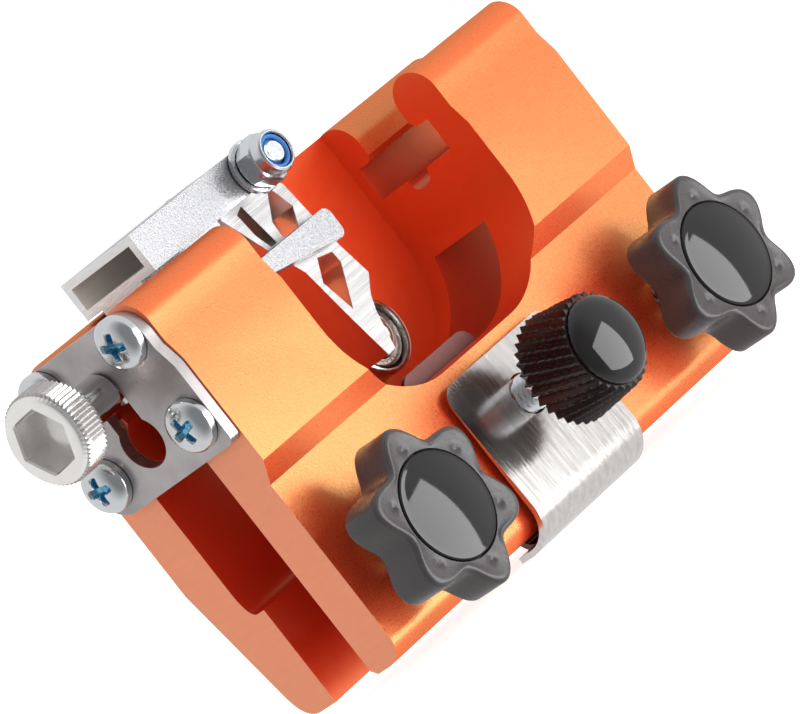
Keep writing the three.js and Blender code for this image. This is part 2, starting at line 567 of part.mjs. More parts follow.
function crossBolt() {
  const end = NUT_FACE + BOLT_END_INSET;
  const head = BOLT_HEAD_SEAT + BOLT_HEAD_HEIGHT;
  const rim = BOLT_HEAD_HEIGHT / 3;
  const profile = [[0, 0], [BOLT_HEAD_RADIUS, 0],
    ...crown(BOLT_HEAD_RADIUS, rim, BOLT_HEAD_HEIGHT - rim)];
  const cap = new THREE.LatheGeometry(profile.map(([r, h]) => new THREE.Vector2(r, h)), ROUND_STEPS);
  cap.translate(PIVOT_X, BOLT_HEAD_SEAT, PIVOT_HEIGHT);
  const shank = rodY(BOLT_RADIUS, end, BOLT_HEAD_SEAT + rim, PIVOT_X, PIVOT_HEIGHT);
  const socket = polygon(HEX_SIDES, BOLT_SOCKET_CORNER, PIVOT_X, PIVOT_HEIGHT);
  return cut(join([cap, shank]), [alongY(socket, head - BOLT_SOCKET_DEPTH, head + OVERRUN)]);
}

function washer(back, face) {
  const disc = rodY(WASHER_RADIUS, face, back, PIVOT_X, PIVOT_HEIGHT);
  return cut(disc, [rodY(BOLT_RADIUS + FIT_GAP, face - OVERRUN, back + OVERRUN, PIVOT_X, PIVOT_HEIGHT)]);
}

function lockNut() {
  const flats = polygon(HEX_SIDES, NUT_CORNER_RADIUS, PIVOT_X, PIVOT_HEIGHT, Math.PI / 6);
  const hexagon = alongY(flats, NUT_SHOULDER, NUT_BACK);
  const collar = rodY(NUT_COLLAR_RADIUS, NUT_FACE, NUT_SHOULDER + FIT_GAP, PIVOT_X, PIVOT_HEIGHT);
  const ringBack = NUT_FACE + NUT_LIP + NUT_RING_HEIGHT;
  return cut(join([hexagon, collar]), [
    rodY(BOLT_RADIUS + FIT_GAP, NUT_FACE - OVERRUN, NUT_BACK + OVERRUN, PIVOT_X, PIVOT_HEIGHT),
    rodY(NUT_RING_OUTER, NUT_FACE - OVERRUN, ringBack, PIVOT_X, PIVOT_HEIGHT),
  ]);
}

function nylonRing() {
  const face = NUT_FACE + NUT_LIP;
  const back = face + NUT_RING_HEIGHT - SEAT_GAP;
  const ring = rodY(NUT_RING_OUTER - SEAT_GAP, face, back, PIVOT_X, PIVOT_HEIGHT);
  return cut(ring, [rodY(BOLT_RADIUS + SEAT_GAP, face - OVERRUN, back + OVERRUN, PIVOT_X, PIVOT_HEIGHT)]);
}

// Guide bearing on its pin, in front of the back wall
const BEARING_BACK = POCKET_BACK - FIT_GAP;
const BEARING_FACE = BEARING_BACK - BEARING_WIDTH;

function bearingRing(outer, inner, inset) {
  const face = BEARING_FACE + inset;
  const back = BEARING_BACK - inset;
  const ring = rodY(outer, face, back, BEARING_X, BEARING_HEIGHT, FINE_STEPS);
  return cut(ring, [rodY(inner, face - OVERRUN, back + OVERRUN, BEARING_X, BEARING_HEIGHT)]);
}

function bearingPin() {
  const capFace = BEARING_FACE - SEAT_GAP - BEARING_PIN_CAP_HEIGHT;
  const cap = rodY(BEARING_PIN_CAP, capFace, BEARING_FACE - SEAT_GAP, BEARING_X, BEARING_HEIGHT);
  return join([cap, rodY(BEARING_PIN_RADIUS, capFace, HALF_WIDTH, BEARING_X, BEARING_HEIGHT)]);
}

// A six-lobed outline whose radius swings between the lobe and the valley
function starOutline(radius, valley) {
  const steps = STAR_LOBES * SMALL_STEPS / 2;
  const middle = (radius + valley) / 2;
  const swing = (radius - valley) / 2;
  const points = Array.from({ length: steps }, (_, step) => {
    const angle = (step / steps) * 2 * Math.PI;
    const reach = middle + swing * Math.cos(STAR_LOBES * angle);
    return new THREE.Vector2(reach * Math.cos(angle), reach * Math.sin(angle));
  });
  return new THREE.Shape(points);
}

const STAR_BACK = LEG_FACE - STAR_STANDOFF;
const STAR_FACE = STAR_BACK - STAR_HUB_HEIGHT - STAR_HEIGHT;

function starKnob(x, turn) {
  const core = starOutline(STAR_RADIUS - STAR_BEVEL, STAR_VALLEY - STAR_BEVEL);
  const star = alongY(core, 0, STAR_HEIGHT - 2 * STAR_BEVEL, {
    bevelEnabled: true, bevelThickness: STAR_BEVEL, bevelSize: STAR_BEVEL, bevelSegments: 2 });
  star.rotateY(-turn);
  star.translate(x, STAR_FACE + STAR_BEVEL, CLAMP_HEIGHT);
  const hub = rodY(STAR_HUB_RADIUS, STAR_FACE + STAR_HEIGHT / 2, STAR_BACK, x, CLAMP_HEIGHT);
  return cut(join([star, hub]), [
    rodY(STAR_CAP_RADIUS, STAR_FACE - OVERRUN, STAR_FACE + STAR_CAP_DEPTH, x, CLAMP_HEIGHT, FINE_STEPS),
    rodY(CLAMP_STUD_RADIUS + FIT_GAP, STAR_FACE + STAR_HEIGHT / 2, STAR_BACK + OVERRUN, x, CLAMP_HEIGHT),
  ]);
}

function starCap(x) {
  const radius = STAR_CAP_RADIUS - FIT_GAP;
  const base = STAR_FACE + STAR_CAP_DEPTH - SEAT_GAP;
  const rim = STAR_CAP_DEPTH - SEAT_GAP;
  const profile = [[0, 0], [radius, 0], ...crown(radius, rim, STAR_CAP_CROWN)];
  return turnedForward(profile, x, base, CLAMP_HEIGHT);
}

function clampStud(x) {
  const head = STAR_FACE + STAR_HEIGHT / 2 + FIT_GAP;
  return rodY(CLAMP_STUD_RADIUS, head, LEG_INSIDE + CLAMP_TIP_REACH, x, CLAMP_HEIGHT);
}

const DEPTH_BACK = CLIP_FACE - DEPTH_KNOB_STANDOFF;
const DEPTH_FACE = DEPTH_BACK - DEPTH_KNOB_HEIGHT;

// Draws a knob's front face in about its axis, so that the sides taper evenly
function taperForward(knob, ratio) {
  const place = knob.attributes.position;
  for (let point = 0; point < place.count; point += 1) {
    const forward = (DEPTH_BACK - place.getY(point)) / (DEPTH_BACK - DEPTH_FACE);
    const share = 1 + forward * (ratio - 1);
    place.setX(point, place.getX(point) * share);
    place.setZ(point, DEPTH_HEIGHT + (place.getZ(point) - DEPTH_HEIGHT) * share);
  }
  return knob;
}

function depthKnob() {
  const outline = toothed(DEPTH_KNURLS, DEPTH_KNOB_RADIUS, DEPTH_KNURL_DEPTH, 0, DEPTH_HEIGHT);
  const ridged = alongY(outline, DEPTH_FACE, DEPTH_BACK);
  const knurled = taperForward(ridged, DEPTH_FACE_RADIUS / DEPTH_KNOB_RADIUS);
  const spigotEnd = DEPTH_FACE + DEPTH_SPIGOT_LENGTH + FIT_GAP;
  const studStart = DEPTH_FACE + DEPTH_KNOB_HEIGHT / 2;
  return cut(knurled, [
    rodY(DEPTH_SPIGOT_RADIUS + SEAT_GAP, DEPTH_FACE - OVERRUN, spigotEnd, 0, DEPTH_HEIGHT),
    rodY(DEPTH_STUD_RADIUS + FIT_GAP, studStart, DEPTH_BACK + OVERRUN, 0, DEPTH_HEIGHT),
  ]);
}

// Polished cap: a domed head on a spigot
function depthCap() {
  const rim = DEPTH_SPIGOT_LENGTH + SEAT_GAP;
  const profile = [[0, 0], [DEPTH_SPIGOT_RADIUS, 0], [DEPTH_SPIGOT_RADIUS, rim],
    ...crown(DEPTH_CAP_RADIUS, rim, DEPTH_CAP_CROWN)];
  return turnedForward(profile, 0, DEPTH_FACE + DEPTH_SPIGOT_LENGTH, DEPTH_HEIGHT);
}

// The stud's tip bears on the clip's inner leg
function depthStud() {
  const head = DEPTH_FACE + DEPTH_KNOB_HEIGHT / 2 + FIT_GAP;
  return rodY(DEPTH_STUD_RADIUS, head, CLIP_INNER_FACE - SEAT_GAP, 0, DEPTH_HEIGHT);
}

// The clip's bent section, in (y, z): outer leg, round hook under the foot, inner leg
function clipSection() {
  const section = new THREE.Shape();
  const frontBend = LEG_CORNER + CLIP_CLEARANCE;
  const frontCentre = CLIP_BACK + frontBend;
  const innerCentre = CLIP_INNER_FACE - CLIP_INNER_BEND;
  const frontLevel = frontBend - CLIP_CLEARANCE;
  const innerLevel = CLIP_INNER_BEND - CLIP_CLEARANCE;
  section.moveTo(CLIP_FACE, CLIP_TOP);
  section.absarc(frontCentre, frontLevel, frontBend + CLIP_THICKNESS, Math.PI, 1.5 * Math.PI);
  section.absarc(innerCentre, innerLevel, CLIP_INNER_BEND + CLIP_THICKNESS, -Math.PI / 2, 0);
  section.lineTo(CLIP_INNER_FACE + CLIP_THICKNESS, CLIP_INNER_TOP);
  section.lineTo(CLIP_INNER_FACE, CLIP_INNER_TOP);
  section.absarc(innerCentre, innerLevel, CLIP_INNER_BEND, 0, -Math.PI / 2, true);
  section.absarc(frontCentre, frontLevel, frontBend, 1.5 * Math.PI, Math.PI, true);
  section.lineTo(CLIP_BACK, CLIP_TOP);
  return section;
}

// Depth clip: the bent strip, trimmed to round corners and a narrower inner leg
function depthClip() {
  const half = CLIP_WIDTH / 2;
  const innerHalf = CLIP_INNER_WIDTH / 2;
  const strip = solid(alongX(clipSection(), -half, half));
  const split = CLIP_INNER_FACE - CLIP_INNER_BEND;
  const low = -CLIP_CLEARANCE - CLIP_THICKNESS - OVERRUN;
  const outer = roundedRectangle(-half, half, low, CLIP_TOP, CLIP_CORNER);
  const inner = roundedRectangle(-innerHalf, innerHalf, low, CLIP_INNER_TOP, CLIP_CORNER);
  const outerTrim = solid(alongY(outer, CLIP_FACE - OVERRUN, split));
  const innerTrim = solid(alongY(inner, split, CLIP_INNER_FACE + OVERRUN));
  const hole = rodY(DEPTH_STUD_RADIUS + FIT_GAP, CLIP_FACE - OVERRUN, split, 0, DEPTH_HEIGHT);
  return geometryOf(strip.intersect(outerTrim.add(innerTrim)).subtract(solid(hole)));
}

const jig = new THREE.Group();

function place(name, geometry, finish) {
  const mesh = new THREE.Mesh(geometry, new THREE.MeshStandardMaterial(finish));
  mesh.name = name;
  jig.add(mesh);
}

place('extruded_body', extrudedBody(), ANODISED);
place('end_plate', endPlate(), BRIGHT_STEEL);
PLATE_SCREWS.forEach(([y, z], index) => place(`plate_screw_${index + 1}`, plateScrew(y, z), ZINC));
place('feed_screw', feedScrew(), BRIGHT_STEEL);
place('stop_carriage', slidingCarriage(), CUT_ALUMINIUM);
place('tooth_stop', toothStop(), CUT_ALUMINIUM);
place('stop_pivot_bolt', crossBolt(), ZINC);
place('pivot_washer', washer(FRONT_WASHER_BACK, FRONT_WASHER_FACE), ZINC);
place('stop_lock_nut', lockNut(), ZINC);
place('lock_nut_ring', nylonRing(), BLUE_NYLON);
const RACE_INSIDE = BEARING_RADIUS - BEARING_OUTER_WALL;
const PIN_FIT = BEARING_PIN_RADIUS + SEAT_GAP;
place('guide_bearing_outer', bearingRing(BEARING_RADIUS, RACE_INSIDE, 0), BRIGHT_STEEL);
place('guide_bearing_shield',
  bearingRing(RACE_INSIDE - SEAT_GAP, BEARING_INNER_RADIUS + SEAT_GAP, BEARING_SHIELD_INSET), ZINC);
place('guide_bearing_inner', bearingRing(BEARING_INNER_RADIUS, PIN_FIT, 0), BRIGHT_STEEL);
place('guide_bearing_pin', bearingPin(), BRIGHT_STEEL);
[['left', -CLAMP_X, LEFT_STAR_TURN], ['right', CLAMP_X, RIGHT_STAR_TURN]].forEach(([side, x, turn]) => {
  place(`clamp_knob_${side}`, starKnob(x, turn), BLACK_PLASTIC);
  place(`clamp_knob_cap_${side}`, starCap(x), GLOSS_BLACK);
  place(`clamp_stud_${side}`, clampStud(x), ZINC);
});
place('depth_knob', depthKnob(), BLACK_PLASTIC);
place('depth_knob_cap', depthCap(), GLOSS_BLACK);
place('depth_stud', depthStud(), ZINC);
place('depth_clip', depthClip(), BRUSHED_STAINLESS);

// The origin is the middle of the jig's footprint, on its lowest point
const extent = new THREE.Box3().setFromObject(jig, true);
const middle = extent.getCenter(new THREE.Vector3());
jig.position.set(-middle.x, -middle.y, -extent.min.z);

export default jig;
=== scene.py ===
import math

import bmesh
import bpy
import numpy as np
from mathutils import Matrix, Quaternion, Vector


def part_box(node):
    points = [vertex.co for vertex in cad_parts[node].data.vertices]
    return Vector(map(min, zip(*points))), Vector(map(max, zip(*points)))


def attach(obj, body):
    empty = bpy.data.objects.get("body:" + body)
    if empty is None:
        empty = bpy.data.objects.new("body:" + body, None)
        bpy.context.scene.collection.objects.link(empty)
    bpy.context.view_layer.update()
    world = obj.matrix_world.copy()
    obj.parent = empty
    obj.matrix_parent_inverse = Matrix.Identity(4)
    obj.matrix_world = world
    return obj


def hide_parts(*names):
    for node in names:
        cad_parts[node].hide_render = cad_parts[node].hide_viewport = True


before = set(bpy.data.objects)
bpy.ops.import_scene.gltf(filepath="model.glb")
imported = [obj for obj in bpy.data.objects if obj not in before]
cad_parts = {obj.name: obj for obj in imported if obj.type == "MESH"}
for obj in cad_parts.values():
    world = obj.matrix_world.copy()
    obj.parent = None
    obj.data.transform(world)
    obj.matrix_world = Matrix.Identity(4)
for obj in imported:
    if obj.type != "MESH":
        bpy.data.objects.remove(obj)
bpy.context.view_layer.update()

# The jig stands on a pale table in a white room. The camera looks along the bar slot from the
# feed screw's side, rolled so that the extrusion runs up to the right. Its place is measured
# from the lower left corner of the body's front wall.
body_low, body_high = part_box("extruded_body")
STEP_HEIGHT = 0.0334  # the lower edge of the front wall above the body's feet
VIEW_TURN, VIEW_RISE, VIEW_ROLL = (math.radians(angle) for angle in (-46.14, 2.81, -37.94))
VIEW_DISTANCE, VIEW_RIGHT, VIEW_UP = 0.960, 0.01870, 0.01410
LENS, SENSOR, SIGHT = 315.36, 36, 20


def add_object(name, data):
    """A new object of the scene that holds this data, at the origin."""
    thing = bpy.data.objects.new(name, data)
    bpy.context.scene.collection.objects.link(thing)
    return thing


away = Vector((math.sin(VIEW_TURN) * math.cos(VIEW_RISE),
               -math.cos(VIEW_TURN) * math.cos(VIEW_RISE), math.sin(VIEW_RISE)))
level = Vector((math.cos(VIEW_TURN), math.sin(VIEW_TURN), 0))
upright = away.cross(level)
view_right = level * math.cos(VIEW_ROLL) + upright * math.sin(VIEW_ROLL)
view_up = upright * math.cos(VIEW_ROLL) - level * math.sin(VIEW_ROLL)
wall_corner = Vector((body_low.x, body_low.y, body_low.z + STEP_HEIGHT))

camera = add_object("camera", bpy.data.cameras.new("camera"))
camera.data.lens = LENS
camera.data.sensor_width = SENSOR
camera.data.sensor_fit = "HORIZONTAL"
camera.data.clip_end = SIGHT
place = Matrix((view_right, view_up, away)).transposed().to_4x4()
place.translation = (wall_corner + view_right * VIEW_RIGHT + view_up * VIEW_UP
                     + away * VIEW_DISTANCE)
camera.matrix_world = place
bpy.context.scene.camera = camera

# One broad soft lamp stands in front of the jig, a little to the right and below the table's
# level, so that the knobs cast their shadows up the front wall. The table casts no shadow of
# its own, and so lets the lamp's light through.
LAMP_SIDE = Vector((0.290, -0.915, -0.304))
LAMP_DISTANCE, LAMP_WIDTH, LAMP_POWER, LAMP_SPIN = 0.62, 0.58, 5.3, math.radians(12)

lamp = add_object("front_light", bpy.data.lights.new("front_light", "AREA"))
lamp.data.size = LAMP_WIDTH
lamp.data.energy = LAMP_POWER
lamp.location = (body_low + body_high) / 2 + LAMP_SIDE.normalized() * LAMP_DISTANCE
lamp.rotation_mode = "QUATERNION"
lamp.rotation_quaternion = LAMP_SIDE.to_track_quat("Z", "Y") @ Quaternion((0, 0, 1), LAMP_SPIN)

# The room is white behind the jig and lights it evenly. What metal mirrors of it is a little
# dimmer, and fades to grey on the side that the photograph was taken from.
WHITE = (1, 1, 1, 1)
GREY, GREY_AT, WHITE_AT = (0.30, 0.30, 0.305, 1), 0.12, 0.40
MIRRORED_LIGHT, EVEN_LIGHT = 0.78, 0.8


def add_node(tree, kind, values=(), **settings):
    """A new node: settings go to the node itself, values to its sockets by name or number."""
    made = tree.nodes.new(kind)
    for label, setting in settings.items():
        setattr(made, label, setting)
    for socket, value in dict(values).items():
        made.inputs[socket].default_value = value
    return made


room = bpy.data.worlds.new("white_room")
bpy.context.scene.world = room
room.use_nodes = True
tree = room.node_tree
tree.nodes.clear()
link = tree.links.new
path = add_node(tree, "ShaderNodeLightPath")
where = add_node(tree, "ShaderNodeTexCoord")
lean = add_node(tree, "ShaderNodeVectorMath", {1: -away}, operation="DOT_PRODUCT")
link(where.outputs["Generated"], lean.inputs[0])
to_share = add_node(tree, "ShaderNodeMath", {1: 0.5, 2: 0.5}, operation="MULTIPLY_ADD")
link(lean.outputs["Value"], to_share.inputs[0])
fade = add_node(tree, "ShaderNodeValToRGB")
for stop, at, colour in zip(fade.color_ramp.elements, (GREY_AT, WHITE_AT), (GREY, WHITE)):
    stop.position = at
    stop.color = colour
link(to_share.outputs[0], fade.inputs[0])
seen = add_node(tree, "ShaderNodeBackground", {"Color": WHITE})
mirrored = add_node(tree, "ShaderNodeBackground", {"Strength": MIRRORED_LIGHT})
link(fade.outputs[0], mirrored.inputs["Color"])
even = add_node(tree, "ShaderNodeBackground", {"Color": WHITE, "Strength": EVEN_LIGHT})
shiny = add_node(tree, "ShaderNodeMath", operation="MAXIMUM")
link(path.outputs["Is Glossy Ray"], shiny.inputs[0])
link(path.outputs["Is Transmission Ray"], shiny.inputs[1])
unseen = add_node(tree, "ShaderNodeMixShader")
link(shiny.outputs[0], unseen.inputs[0])
link(even.outputs[0], unseen.inputs[1])
link(mirrored.outputs[0], unseen.inputs[2])
whole = add_node(tree, "ShaderNodeMixShader")
link(path.outputs["Is Camera Ray"], whole.inputs[0])
link(unseen.outputs[0], whole.inputs[1])
link(seen.outputs[0], whole.inputs[2])
link(whole.outputs[0], add_node(tree, "ShaderNodeOutputWorld").inputs[0])
bpy.context.scene.view_settings.view_transform = "Standard"

# The table top is a wide pale sheet that glows towards the camera alone, so that it looks as
# white as the room. It casts no shadow, and no metal mirrors it.
TABLE_REACH = 3
TABLE_COLOUR, TABLE_GLOW = (0.86, 0.86, 0.86, 1), 0.8

table_mesh = bpy.data.meshes.new("table")
table_mesh.from_pydata(
    [(x * TABLE_REACH, y * TABLE_REACH, 0) for x, y in ((-1, -1), (1, -1), (1, 1), (-1, 1))],
    [], [(0, 1, 2, 3)])
table = add_object("table", table_mesh)
pale = bpy.data.materials.new("pale_table")
pale.use_nodes = True
tree = pale.node_tree
tree.nodes.clear()
link = tree.links.new
path = add_node(tree, "ShaderNodeLightPath")
matt = add_node(tree, "ShaderNodeBsdfDiffuse", {"Color": TABLE_COLOUR})
glow = add_node(tree, "ShaderNodeEmission", {"Color": WHITE, "Strength": TABLE_GLOW})
both = add_node(tree, "ShaderNodeAddShader")
link(matt.outputs[0], both.inputs[0])
link(glow.outputs[0], both.inputs[1])
whole = add_node(tree, "ShaderNodeMixShader")
link(path.outputs["Is Camera Ray"], whole.inputs[0])
link(matt.outputs[0], whole.inputs[1])
link(both.outputs[0], whole.inputs[2])
link(whole.outputs[0], add_node(tree, "ShaderNodeOutputMaterial").inputs[0])
table_mesh.materials.append(pale)
table.visible_shadow = False
table.visible_glossy = False

# Extruded body: one length of aluminium extrusion, its window milled out and its ends
# sawn, then blasted and anodised orange all over. Its edges are broken with a fine bevel.
# The skin has a satin grain. The milled walls and the slots are smoother. The slots' darker,
# deeper red is painted shade and painted red reflection. The milled walls' deeper red is partly
# their own milled finish and partly painted red reflection.
BODY_EDGE, BODY_CREASE = 0.00022, 13
SQUARE_ON = 0.98                          # a face's normal lies this much along the axis it faces
TURNED_AWAY = 0.02                        # a drawn face never turns this far towards the ends
SAWN_FROM = 0.0495                        # only the ends lie this far from the body's middle
WINDOW_BACK, WINDOW_FLOOR = 0.0250, 0.0260
NEAR = 0.0002                             # a face this near to the window's back or floor is of it
SLIDE_HALF, SLIDE_BOTTOM, SLIDE_TOP = 0.0087, 0.0400, 0.0552
BAR_HALF, BAR_TOP = 0.0071, 0.0384        # each slot's half width, and its reach above the feet
COLOUR_A, COLOUR_B, COLOUR_MIX = 6, 7, 2  # a Mix node's colour sockets: two in and one out
NOISE_LOW, NOISE_HIGH = 0.3, 0.7          # nearly all values of a noise lie between these
RELIEF = 0.0002                           # the height that a pattern's bump stands for


def pattern_group(name, inputs, outputs):
    """A node group with these sockets, and its own entry and exit nodes."""
    group = bpy.data.node_groups.new(name, "ShaderNodeTree")
    for label, kind in inputs:
        group.interface.new_socket(label, in_out="INPUT", socket_type=kind)
    for label in outputs:
        group.interface.new_socket(label, in_out="OUTPUT", socket_type="NodeSocketFloat")
    return group, add_node(group, "NodeGroupInput"), add_node(group, "NodeGroupOutput")


def grain_group():
    """A grain: a fine noise gives its height, and a slower noise gives its tint."""
    group, entry, leave = pattern_group(
        "grain", (("Vector", "NodeSocketVector"), ("Fineness", "NodeSocketFloat"),
                  ("Cloudiness", "NodeSocketFloat")), ("Height", "Tint"))
    for label, scale, detail in (("Height", "Fineness", 3.0), ("Tint", "Cloudiness", 4.0)):
        noise = add_node(group, "ShaderNodeTexNoise", {"Detail": detail})
        group.links.new(entry.outputs["Vector"], noise.inputs["Vector"])
        group.links.new(entry.outputs[scale], noise.inputs["Scale"])
        group.links.new(noise.outputs[0], leave.inputs[label])
    return group


def lines_group():
    """Brushed or sawn lines: a noise stretched by a ratio for each axis, once fine, once broad."""
    group, entry, leave = pattern_group(
        "lines", (("Vector", "NodeSocketVector"), ("Stretch", "NodeSocketVector")),
        ("Fine", "Broad"))
    stretch = add_node(group, "ShaderNodeVectorMath", operation="MULTIPLY")
    group.links.new(entry.outputs["Vector"], stretch.inputs[0])
    group.links.new(entry.outputs["Stretch"], stretch.inputs[1])
    for label, scale in (("Fine", 1.0), ("Broad", 0.22)):
        noise = add_node(group, "ShaderNodeTexNoise", {"Scale": scale, "Detail": 3.0})
        group.links.new(stretch.outputs[0], noise.inputs["Vector"])
        group.links.new(noise.outputs[0], leave.inputs[label])
    return group


GRAIN = grain_group()
LINES = lines_group()


def finish(name, colour, metallic, roughness, tint, rough_swing, bump, grain=None, lines=None):
    """A material on Object coordinates. Its pattern is a grain of (fineness, cloudiness), or
    lines with a stretch for each axis. The broad pattern swings the colour about its value by a
    share, the fine one swings the roughness about its value, and also makes the bump."""
    material = bpy.data.materials.new(name)
    material.use_nodes = True
    tree = material.node_tree
    link = tree.links.new
    shader = tree.nodes["Principled BSDF"]
    shader.inputs["Metallic"].default_value = metallic
    where = add_node(tree, "ShaderNodeTexCoord")
    if lines:
        pattern = add_node(tree, "ShaderNodeGroup", {"Stretch": lines}, node_tree=LINES)
    else:
        pattern = add_node(tree, "ShaderNodeGroup",
                           {"Fineness": grain[0], "Cloudiness": grain[1]}, node_tree=GRAIN)
    link(where.outputs["Object"], pattern.inputs["Vector"])
    fine, broad = pattern.outputs
    darker = [channel * (1 - tint) for channel in colour[:3]] + [1]
    lighter = [min(1.0, channel * (1 + tint)) for channel in colour[:3]] + [1]
    shades = add_node(tree, "ShaderNodeMix", {COLOUR_A: darker, COLOUR_B: lighter},
                      data_type="RGBA")
    link(broad, shades.inputs[0])
    link(shades.outputs[COLOUR_MIX], shader.inputs["Base Color"])
    swing = add_node(tree, "ShaderNodeMapRange", {
        "From Min": NOISE_LOW, "From Max": NOISE_HIGH,
        "To Min": roughness - rough_swing, "To Max": roughness + rough_swing})
    link(fine, swing.inputs["Value"])
    link(swing.outputs[0], shader.inputs["Roughness"])
    relief = add_node(tree, "ShaderNodeBump", {"Strength": bump, "Distance": RELIEF})
    link(fine, relief.inputs["Height"])
    link(relief.outputs[0], shader.inputs["Normal"])
    return material


def anodised(name, colour, roughness, gloss, gloss_colour, **pattern):
    """A dyed oxide skin: a plain finish of the dye's colour, under a strong gloss whose index
    of refraction and colour are set on the shader itself."""
    material = finish(name, colour, 0.0, roughness, **pattern)
    shader = material.node_tree.nodes["Principled BSDF"]
    shader.inputs["IOR"].default_value = gloss
    shader.inputs["Specular IOR Level"].default_value = 1.0
    shader.inputs["Specular Tint"].default_value = gloss_colour
    return material


def edged(node, piece_name, body, edge, crease=32):
    """The node's own shape, with its doubles merged and its flat faces joined, and with a bevel
    on each edge that is sharper than the crease in degrees."""
    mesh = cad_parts[node].data.copy()
    mesh.name = piece_name
    mesh.materials.clear()
    work = bmesh.new()
    work.from_mesh(mesh)
    bmesh.ops.remove_doubles(work, verts=work.verts, dist=1e-6)
    bmesh.ops.dissolve_limit(work, angle_limit=math.radians(1), verts=work.verts,
                             edges=work.edges)
    work.to_mesh(mesh)
    work.free()
    old_normals = mesh.attributes.get("custom_normal")
    if old_normals:
        mesh.attributes.remove(old_normals)
    mesh.shade_smooth()
    mesh.set_sharp_from_angle(angle=math.radians(crease))
    piece = add_object(piece_name, mesh)
    bevel = piece.modifiers.new("broken_edges", "BEVEL")
    bevel.width = edge
    bevel.segments = 2
    bevel.limit_method = "ANGLE"
    bevel.angle_limit = math.radians(crease)
    bevel.harden_normals = True
    bevel.miter_outer = "MITER_ARC"
    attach(piece, body)
    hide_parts(node)
    return piece


def faces_of(mesh):
    """Each face's outward normal and its middle, as two arrays."""
    count = len(mesh.polygons)
    normals = np.empty(count * 3, np.float32)
    middles = np.empty(count * 3, np.float32)
    mesh.polygons.foreach_get("normal", normals)
    mesh.polygons.foreach_get("center", middles)
    return normals.reshape(-1, 3), middles.reshape(-1, 3)


def dress(piece, materials, chosen):
    """Gives a piece its materials, and each face the one whose place in the row is chosen."""
    for material in materials:
        piece.data.materials.append(material)
    piece.data.polygons.foreach_set("material_index", chosen.astype(np.int32))


skin = anodised("anodised_skin", (0.70, 0.045, 0.014, 1), roughness=0.31, gloss=2.6,
                gloss_colour=(1.0, 0.58, 0.225, 1), grain=(4300, 2600), tint=0.14,
                rough_swing=0.06, bump=0.17)
# The milled walls' deeper red is partly their own smoother milled finish, partly painted red
# reflection.
milled_and_painted_reflection_walls = anodised("anodised_milled_painted_reflection", (0.74, 0.040, 0.010, 1), roughness=0.32, gloss=2.1,
                        gloss_colour=(1.0, 0.45, 0.16, 1), grain=(700, 60), tint=0.04,
                        rough_swing=0.04, bump=0.02)
# The slots' darker, deeper red is painted shade and painted red reflection on the same skin.
painted_shade_slot_walls = anodised("anodised_slot_painted_shade", (0.60, 0.028, 0.008, 1), roughness=0.34, gloss=1.9,
                      gloss_colour=(1.0, 0.40, 0.16, 1), grain=(1500, 60), tint=0.05,
                      rough_swing=0.04, bump=0.03)
sawn_ends = anodised("anodised_sawn", (0.96, 0.155, 0.075, 1), roughness=0.46, gloss=3.4,
                     gloss_colour=(1.0, 0.54, 0.33, 1), lines=(400, 300, 4200), tint=0.07,
                     rough_swing=0.08, bump=0.12)
extrusion = edged("extruded_body", "body_extrusion", "body_frame", BODY_EDGE,
                  BODY_CREASE)
normals, middles = faces_of(extrusion.data)
along = np.abs(middles[:, 0] - (body_low.x + body_high.x) / 2)
inward = middles[:, 1] - body_low.y
up = middles[:, 2] - body_low.z
across = np.abs(inward - (body_high.y - body_low.y) / 2)
sawn = (np.abs(normals[:, 0]) > SQUARE_ON) & (along > SAWN_FROM)
milled = (np.abs(normals[:, 0]) > TURNED_AWAY) & ~sawn
milled |= (normals[:, 1] < -SQUARE_ON) & (np.abs(inward - WINDOW_BACK) < NEAR)
milled |= (normals[:, 2] > SQUARE_ON) & (np.abs(up - WINDOW_FLOOR) < NEAR)
slotted = (across < SLIDE_HALF) & (up > SLIDE_BOTTOM) & (up < SLIDE_TOP)
slotted |= (across < BAR_HALF) & (up < BAR_TOP)
slotted &= ~sawn & ~milled
dress(extrusion, (skin, milled_and_painted_reflection_walls, painted_shade_slot_walls, sawn_ends),
      milled * 1 + slotted * 2 + sawn * 3)

# End plate: 2 mm steel, punched with its keyhole and four screw holes, then tumbled, which
# leaves a mottled satin face. Four screws hold it on the body's left end.
PLATE_EDGE = 0.00025
plate = edged("end_plate", "keyhole_plate", "body_frame", PLATE_EDGE)
plate.data.materials.append(
    finish("tumbled_steel", (0.49, 0.455, 0.455, 1), metallic=0.95, roughness=0.32,
           grain=(1400, 110), tint=0.45, rough_swing=0.05, bump=0.03))

# Plate screws: four M4 pan heads, zinc plated. Their cross recesses are painted blue, a painted
# reflection. Each is driven home in the end plate, and they stopped at turns of their own.
SCREW_TURNS = {1: 0.35, 2: 0.95, 3: 1.35, 4: 0.15}
SCREW_HEAD, SCREW_CROWN, SCREW_RIM = 0.0040, 0.0025, 0.0009
SCREW_SHANK, SCREW_SHANK_LENGTH = 0.0020, 0.004
SCREW_COLUMNS, SCREW_RINGS = 144, 52
ARM_HALF, ARM_SLOPE, ARM_REACH, ARM_TAPER, ARM_DEEP = 0.00064, 0.00022, 0.0022, 0.0007, 0.00155
# Where in each recess the painted blue reflection lies, and its colour.
BLUE_FROM, BLUE_REACH = 0.00055, 0.0024
RECESS_REFLECTION_BLUE = (0.20, 0.50, 0.70, 1)


def turns(columns):
    """Turns evenly spaced round a ring, in radians."""
    return np.linspace(0, 2 * math.pi, columns, endpoint=False)


def spread(rings, turn):
    """Two arrays of (height, radius) pairs, with a row for each ring and a column for each turn.
    A height or a radius is one number, or changes round its ring."""
    return [np.stack([np.broadcast_to(np.asarray(value, float), turn.shape) for value in values])
            for values in zip(*rings)]


